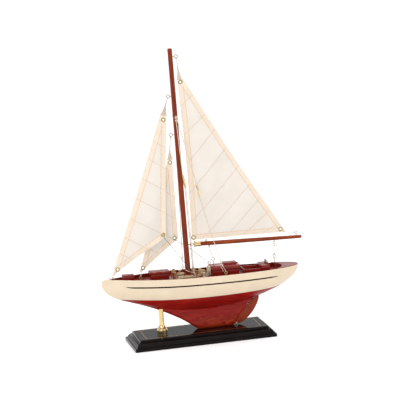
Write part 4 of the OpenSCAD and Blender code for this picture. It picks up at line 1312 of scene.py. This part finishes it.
def make_sails():
    make_sail("mainsail", MAINSAIL, MAIN_SEAMS, [(-1.7, 180.2), (154, 178.6), (-7.7, 452.2)],
              "boom_rig")
    make_sail("jib", JIB, JIB_SEAMS, [(-138.6, 138.8), (-57, 192.6), (-41.6, 390.2)],
              "jib_rig")
    make_sail("staysail", STAYSAIL, STAYSAIL_SEAMS,
              [(-93.8, 136.4), (-34.8, 182.4), (-34.4, 315.4)],
              "staysail_rig")


# ---------------------------------------------------------------- rigging

SHROUD_D, THREAD_D = 1.5, 0.95
NEAR_ROUTE = [(-19.4, -7.6, 392), (5.4, -18, 277), (8.8, -20, 252.8), (36, -34.4, 140),
              (43, -34.6, 124)]
FAR_ROUTE = [(-21.8, 7.8, 392), (-18.6, 20, 262), (-16.8, 33.6, 138)]
LOWER_ROUTE = [(-21, -7.4, 391.8), (-15.4, -8, 293), (-11.2, -8.4, 271), (-9, -8.6, 214),
               (-6, -8, 117)]
# The sheets and the vang, each listed from what swings down to the hull
JIB_SHEET = [(-56.6, -11.9, 189.5), (-30, -10.2, 151), (-18.6, -8.6, 134), (-12, -8, 120)]
STAYSAIL_SHEET = [(-34.6, 0.8, 179.4), (-8, 7.2, 160), (19.8, 1.4, 135)]
MAIN_SHEET = [(141, 0, 152.6), (140.8, 0, 135.2)]
VANG = [(25.2, 0, 160.2), (29.6, 0, 141.8)]


def thread(route):
    return laid(route, THREAD_D, steps=6)


def knot(at, size, d, lean=0.0):
    """A small overhand knot."""
    t = np.linspace(0, 2 * math.pi, 60)
    x = size * (np.sin(t) + 2 * np.sin(2 * t)) / 3
    z = size * (np.cos(t) - 2 * np.cos(2 * t)) / 3
    y = -size * np.sin(3 * t) / 2.5
    turned = np.stack([x * math.cos(lean) - z * math.sin(lean), y,
                       x * math.sin(lean) + z * math.cos(lean)], axis=1)
    return sweep(np.asarray(at) + turned, d / 2, 6)


def hitch(at, towards, r, d):
    """Cord looped through an eye: a small ring of cord around its wire."""
    at, towards = np.asarray(at, float), np.asarray(towards, float)
    t = towards - at
    t /= np.linalg.norm(t)
    side = np.cross(t, (0, 1, 0) if abs(t[1]) < 0.9 else (1, 0, 0))
    side /= np.linalg.norm(side)
    ring = [at + r * (math.cos(a) * t + math.sin(a) * side)
            for a in np.linspace(0.2, 2 * math.pi - 0.2, 20)]
    return sweep(ring, d / 2, 6)


def tail(width, points, twist):
    """A narrow tail of hem cloth that twists and tapers to a thread."""
    line = smooth_route(points, 10)
    t, _, _ = frames_along(line)
    rows = []
    for i, p in enumerate(line):
        s = i / (len(line) - 1)
        flat = np.cross(t[i], (0, 1, 0))
        flat /= np.linalg.norm(flat)
        deep = np.cross(t[i], flat)
        a = twist * s
        w = (width * (1 - s) ** 1.8 + 3.2 - 1.6 * s) / 2
        wide = math.cos(a) * flat + math.sin(a) * deep
        thick = math.cos(a) * deep - math.sin(a) * flat
        ring = []
        across = np.linspace(-1, 1, 7)
        for face, qs in ((0.3, across), (-0.3, across[::-1])):
            for q in qs:
                fold = 0.35 * math.cos(q * 2.6) * (0.4 + s)
                ring.append(p + wide * w * q + thick * (fold + face))
        rows.append(ring)
    return grid(rows, closed=True, caps=True)


TUBE_R, TUBE_BORE = 1.5, 0.8


def tube(a, b):
    """Brass crimp tube with rolled ends."""
    r, bore = TUBE_R, TUBE_BORE
    a, b = np.asarray(a, float), np.asarray(b, float)
    h = np.linalg.norm(b - a)
    profile = [(bore, 0), (r - 0.25, 0), (r, 0.3), (r, h - 0.3), (r - 0.25, h), (bore, h)]
    return ring_lathe(profile, a, b - a, 24)


def mirrored(route, shift):
    return [(x + shift, -y, z) for x, y, z in route]


def make_rigging():
    def on(name, meshes, look, replaces, body="hull"):
        return mesh_piece(name, join(*meshes), look, body, [replaces] if replaces else (), 80)

    near_end = np.array((44, -34.6, 122))
    on("port_shroud", [laid(NEAR_ROUTE[:4], SHROUD_D),
                       hitch((-19.6, -8.6, 393.6), (-19.4, -7.6, 391), 1.6, 1),
                       knot((36.2, -34.5, 139), 1.6, 0.9), knot((35.2, -34.2, 143), 1.3, 0.9, 0.8),
                       laid(smooth_route([NEAR_ROUTE[3], (38.5, -35, 133), (41.5, -34.2, 128),
                                          near_end]), 0.9),
                       laid(smooth_route([(36.5, -34.6, 138), (35.5, -36, 132), (38, -36.2, 127.5),
                                          (39.5, -35.6, 123)]), 0.8)],
       "sail_thread", "shroud_port")
    on("starboard_shroud", [laid(FAR_ROUTE, SHROUD_D),
                            hitch((-21.8, 8.6, 393.6), (-21.8, 7.8, 391), 1.6, 1)],
       "sail_thread", "shroud_starboard")
    lowers = []
    for route in (LOWER_ROUTE, mirrored(LOWER_ROUTE, 1.4)):
        lowers += [laid(route, SHROUD_D), hitch(np.array(route[0]) + (0, 0, 1.4), route[1], 1.5, 1),
                   knot(np.array(route[0]) - (-0.1, 0, 4), 1.4, 0.9)]
    on("inner_shrouds", lowers, "sail_thread", "lower_shrouds")
    tubes = [tube(NEAR_ROUTE[2], NEAR_ROUTE[1])]
    for route in (LOWER_ROUTE, mirrored(LOWER_ROUTE, 1.4)):
        tubes.append(tube(route[2], route[1]))
    on("rigging_tubes", tubes, "polished_brass", "shroud_tubes")
    hook = [(-17.2, 33.4, 135), (-19, 33.4, 137.4), (-18, 33.6, 140), (-15.8, 33.8, 139.4),
            (-15.8, 34, 136.4),
            (-17.4, 34.2, 132.4), (-17.6, 34.6, 128.4), (-16.4, 35, 126.2), (-14.8, 35, 127.4)]
    on("shroud_hook", [sweep(smooth_route(hook, 5), 0.45, 8)], "steel_wire", "s_hook")

    jib_line = on("jib_sheet_line", [thread(JIB_SHEET)], "grey_thread", "jib_sheet", None)
    stay_line = on("staysail_sheet_line", [thread(STAYSAIL_SHEET),
                                           hitch((21.4, 0.4, 133.6), (19.8, 1.4, 135), 1.2, 0.6)],
                   "grey_thread", "staysail_sheet", None)
    main_line = on("main_sheet_line", [thread(MAIN_SHEET),
                                       knot((141.8, 0, 150.6), 1.5, 0.8),
                                       knot((140, 0.2, 136.2), 1.5, 0.8, 1)],
                   "sail_thread", "main_sheet", None)
    vang_line = on("boom_vang_line", [thread(VANG)],
                   "grey_thread", "boom_vang", None)
    lash = [(-21, -5, 126), (-15, -7.4, 122.6), (-8.6, -5.4, 119.6), (-2, -8, 116.8),
            (4, -12, 114.4)]
    more = [(-8, -7, 121.5), (-4, -10, 118), (-6, -14, 115), (-11, -17, 114)]
    on("mast_foot_lashing", [laid(smooth_route(lash), SHROUD_D), laid(smooth_route(more), 0.9)],
       "pale_rope", "heel_lashing")

    on("main_halyard_tail", [tail(6, [(-8.6, 0, 455.8), (-9.6, 0, 468), (-10.4, 0, 481)], 0.8),
                             thread([(-10.4, 0, 480), (-11.6, 0, 492.4)]),
                             hitch((-11.8, 0, 493.6), (-11.6, 0, 492), 1.1, 0.6)],
       "tail_cloth", "main_halyard", "boom_rig")
    on("jib_halyard_tail", [tail(9, [(-41, 0, 396.6), (-37.8, 0, 408), (-33, 0, 423)], 0.9),
                            thread([(-33.2, 0, 422), (-31.7, 0, 426)])],
       "tail_cloth", "jib_halyard", "jib_rig")
    on("staysail_halyard_tail", [tail(7, [(-34.3, 0, 319.8), (-34, 0, 331), (-32.4, 0, 345)], 1.0),
                                 thread([(-32.4, 0, 344), (-30.4, 0, 359.4)]),
                                 knot((-30.8, 0, 358), 1.3, 0.7)],
       "tail_cloth", "staysail_halyard", "staysail_rig")
    wrap = [(0.3, -5.2 * math.cos(a), 168.3 + 5.2 * math.sin(a))
            for a in np.radians(np.arange(50, -231, -14))]
    on("tack_ties", [thread([(-1.7, -1.8, 176.4)] + wrap + [(-1.4, 1.6, 176.6)]),
                     thread([(2, 0, 174.2), (18, 0, 173.6)]),
                     knot((-1.2, -3.2, 174), 1.3, 0.7)],
       "sail_thread", "tack_lashing", "boom_rig")
    out = smooth_route([(154, -1.6, 178.4), (160, -1.8, 175), (170, -0.8, 172.8),
                        (178.6, 0, 170.2)])
    on("clew_outhaul_line", [thread(out), knot((178, 0, 170.4), 1.3, 0.7)],
       "sail_thread", "clew_outhaul", "boom_rig")
    foot = smooth_route([(-138.6, -3.3, 136.6), (-143.6, -2, 131.4), (-147.8, -0.8, 127.4),
                         (-147.6, 0, 124.2)])
    on("jib_tack_tie", [thread(foot), knot((-147.6, -0.3, 125.4), 1.3, 0.7)],
       "sail_thread", "jib_tack_line", "jib_rig")
    foot = smooth_route([(-93.8, -1.1, 133.8), (-97.4, -1, 127.6), (-99.4, -0.2, 121.8)])
    on("staysail_tack_tie", [thread(foot), knot((-98.6, -0.6, 123.4), 1.3, 0.7)],
       "sail_thread", "staysail_tack_line", "staysail_rig")
    return jib_line, stay_line, main_line, vang_line


def blend_lines(lines):
    """Bakes the placement of the sheets and the vang into their meshes."""
    routes = [("jib_rig", JIB_SHEET), ("staysail_rig", STAYSAIL_SHEET), ("boom_rig", MAIN_SHEET),
              ("boom_rig", VANG)]
    for line, (body, route) in zip(lines, routes):
        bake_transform(line)


# ---------------------------------------------------------------- rudder

RUDDER_LEAN = math.radians(40.4)
HINGE_GAP = 2.2
RUDDER_HALF = 1.6


def make_rudder():
    place = Matrix.Translation((STERNPOST_FOOT_X + HINGE_GAP * math.cos(RUDDER_LEAN), 0,
                                BASE_HEIGHT - HINGE_GAP * math.sin(RUDDER_LEAN)))
    place = place @ Matrix.Rotation(RUDDER_LEAN, 4, "Y")
    trailing = smooth_route([(4.2, 0, 6.6), (7, 0, 11.5), (9.3, 0, 18.7), (10.9, 0, 27.5),
                             (11.5, 0, 35),
                             (11.3, 0, 42), (10, 0, 51), (7.2, 0, 60.8), (3.8, 0, 66.8)], 4)
    leading = smooth_route([(-2.7, 0, 5.4), (-3.7, 0, 11), (-4.6, 0, 20), (-4.93, 0, 30),
                            (-4.63, 0, 39),
                            (-3.8, 0, 49), (-2.7, 0, 56), (-1, 0, 60.3), (1.6, 0, 64)], 8)
    rows = []
    for x, _, z in trailing:
        root = min(63, max(5.4, z))
        fore = np.interp(root, leading[:, 2], leading[:, 0])
        ring = []
        for s in (1, -1):
            for share in (np.arange(17) / 16)[::s] ** 1.3:
                half = RUDDER_HALF * math.sqrt(max(0, 1 - max(0, 1 - share / 0.12) ** 2))
                half *= 1 - 0.5 * share ** 1.5
                half *= math.sqrt(max(0.0, 1 - max(0, share - 0.93) ** 2 / 0.0049))
                ring.append((fore + (x - fore) * share, s * max(half, 0.02),
                             root + (z - root) * share))
        rows.append(ring)
    mesh_piece("rudder_leaf", placed(grid(rows, closed=True, caps=True), place), "rudder_wood",
               "rudder_blade", ["rudder"], 50)


# ---------------------------------------------------------------- put together

KEPT_NODES = {"deck": "deck_lacquer", "aft_deck": "deck_lacquer", "base_inlay": "gold_inlay",
              "post_screw": "aged_brass", "keel_screws": "aged_brass",
              "rudder_pins": "polished_brass",
              "heel_tab": "polished_brass"}


def finish_kept_nodes():
    for name, look in KEPT_NODES.items():
        node = nodes[name]
        node.data.materials.clear()
        node.data.materials.append(MATERIALS[look])


make_camera()
make_stage()
make_topsides()
make_hull_bottom()
make_stripes()
make_stand()
make_furniture()
make_ropes()
make_spars()
make_eyes()
make_sails()
blend_lines(make_rigging())
make_rudder()
finish_kept_nodes()
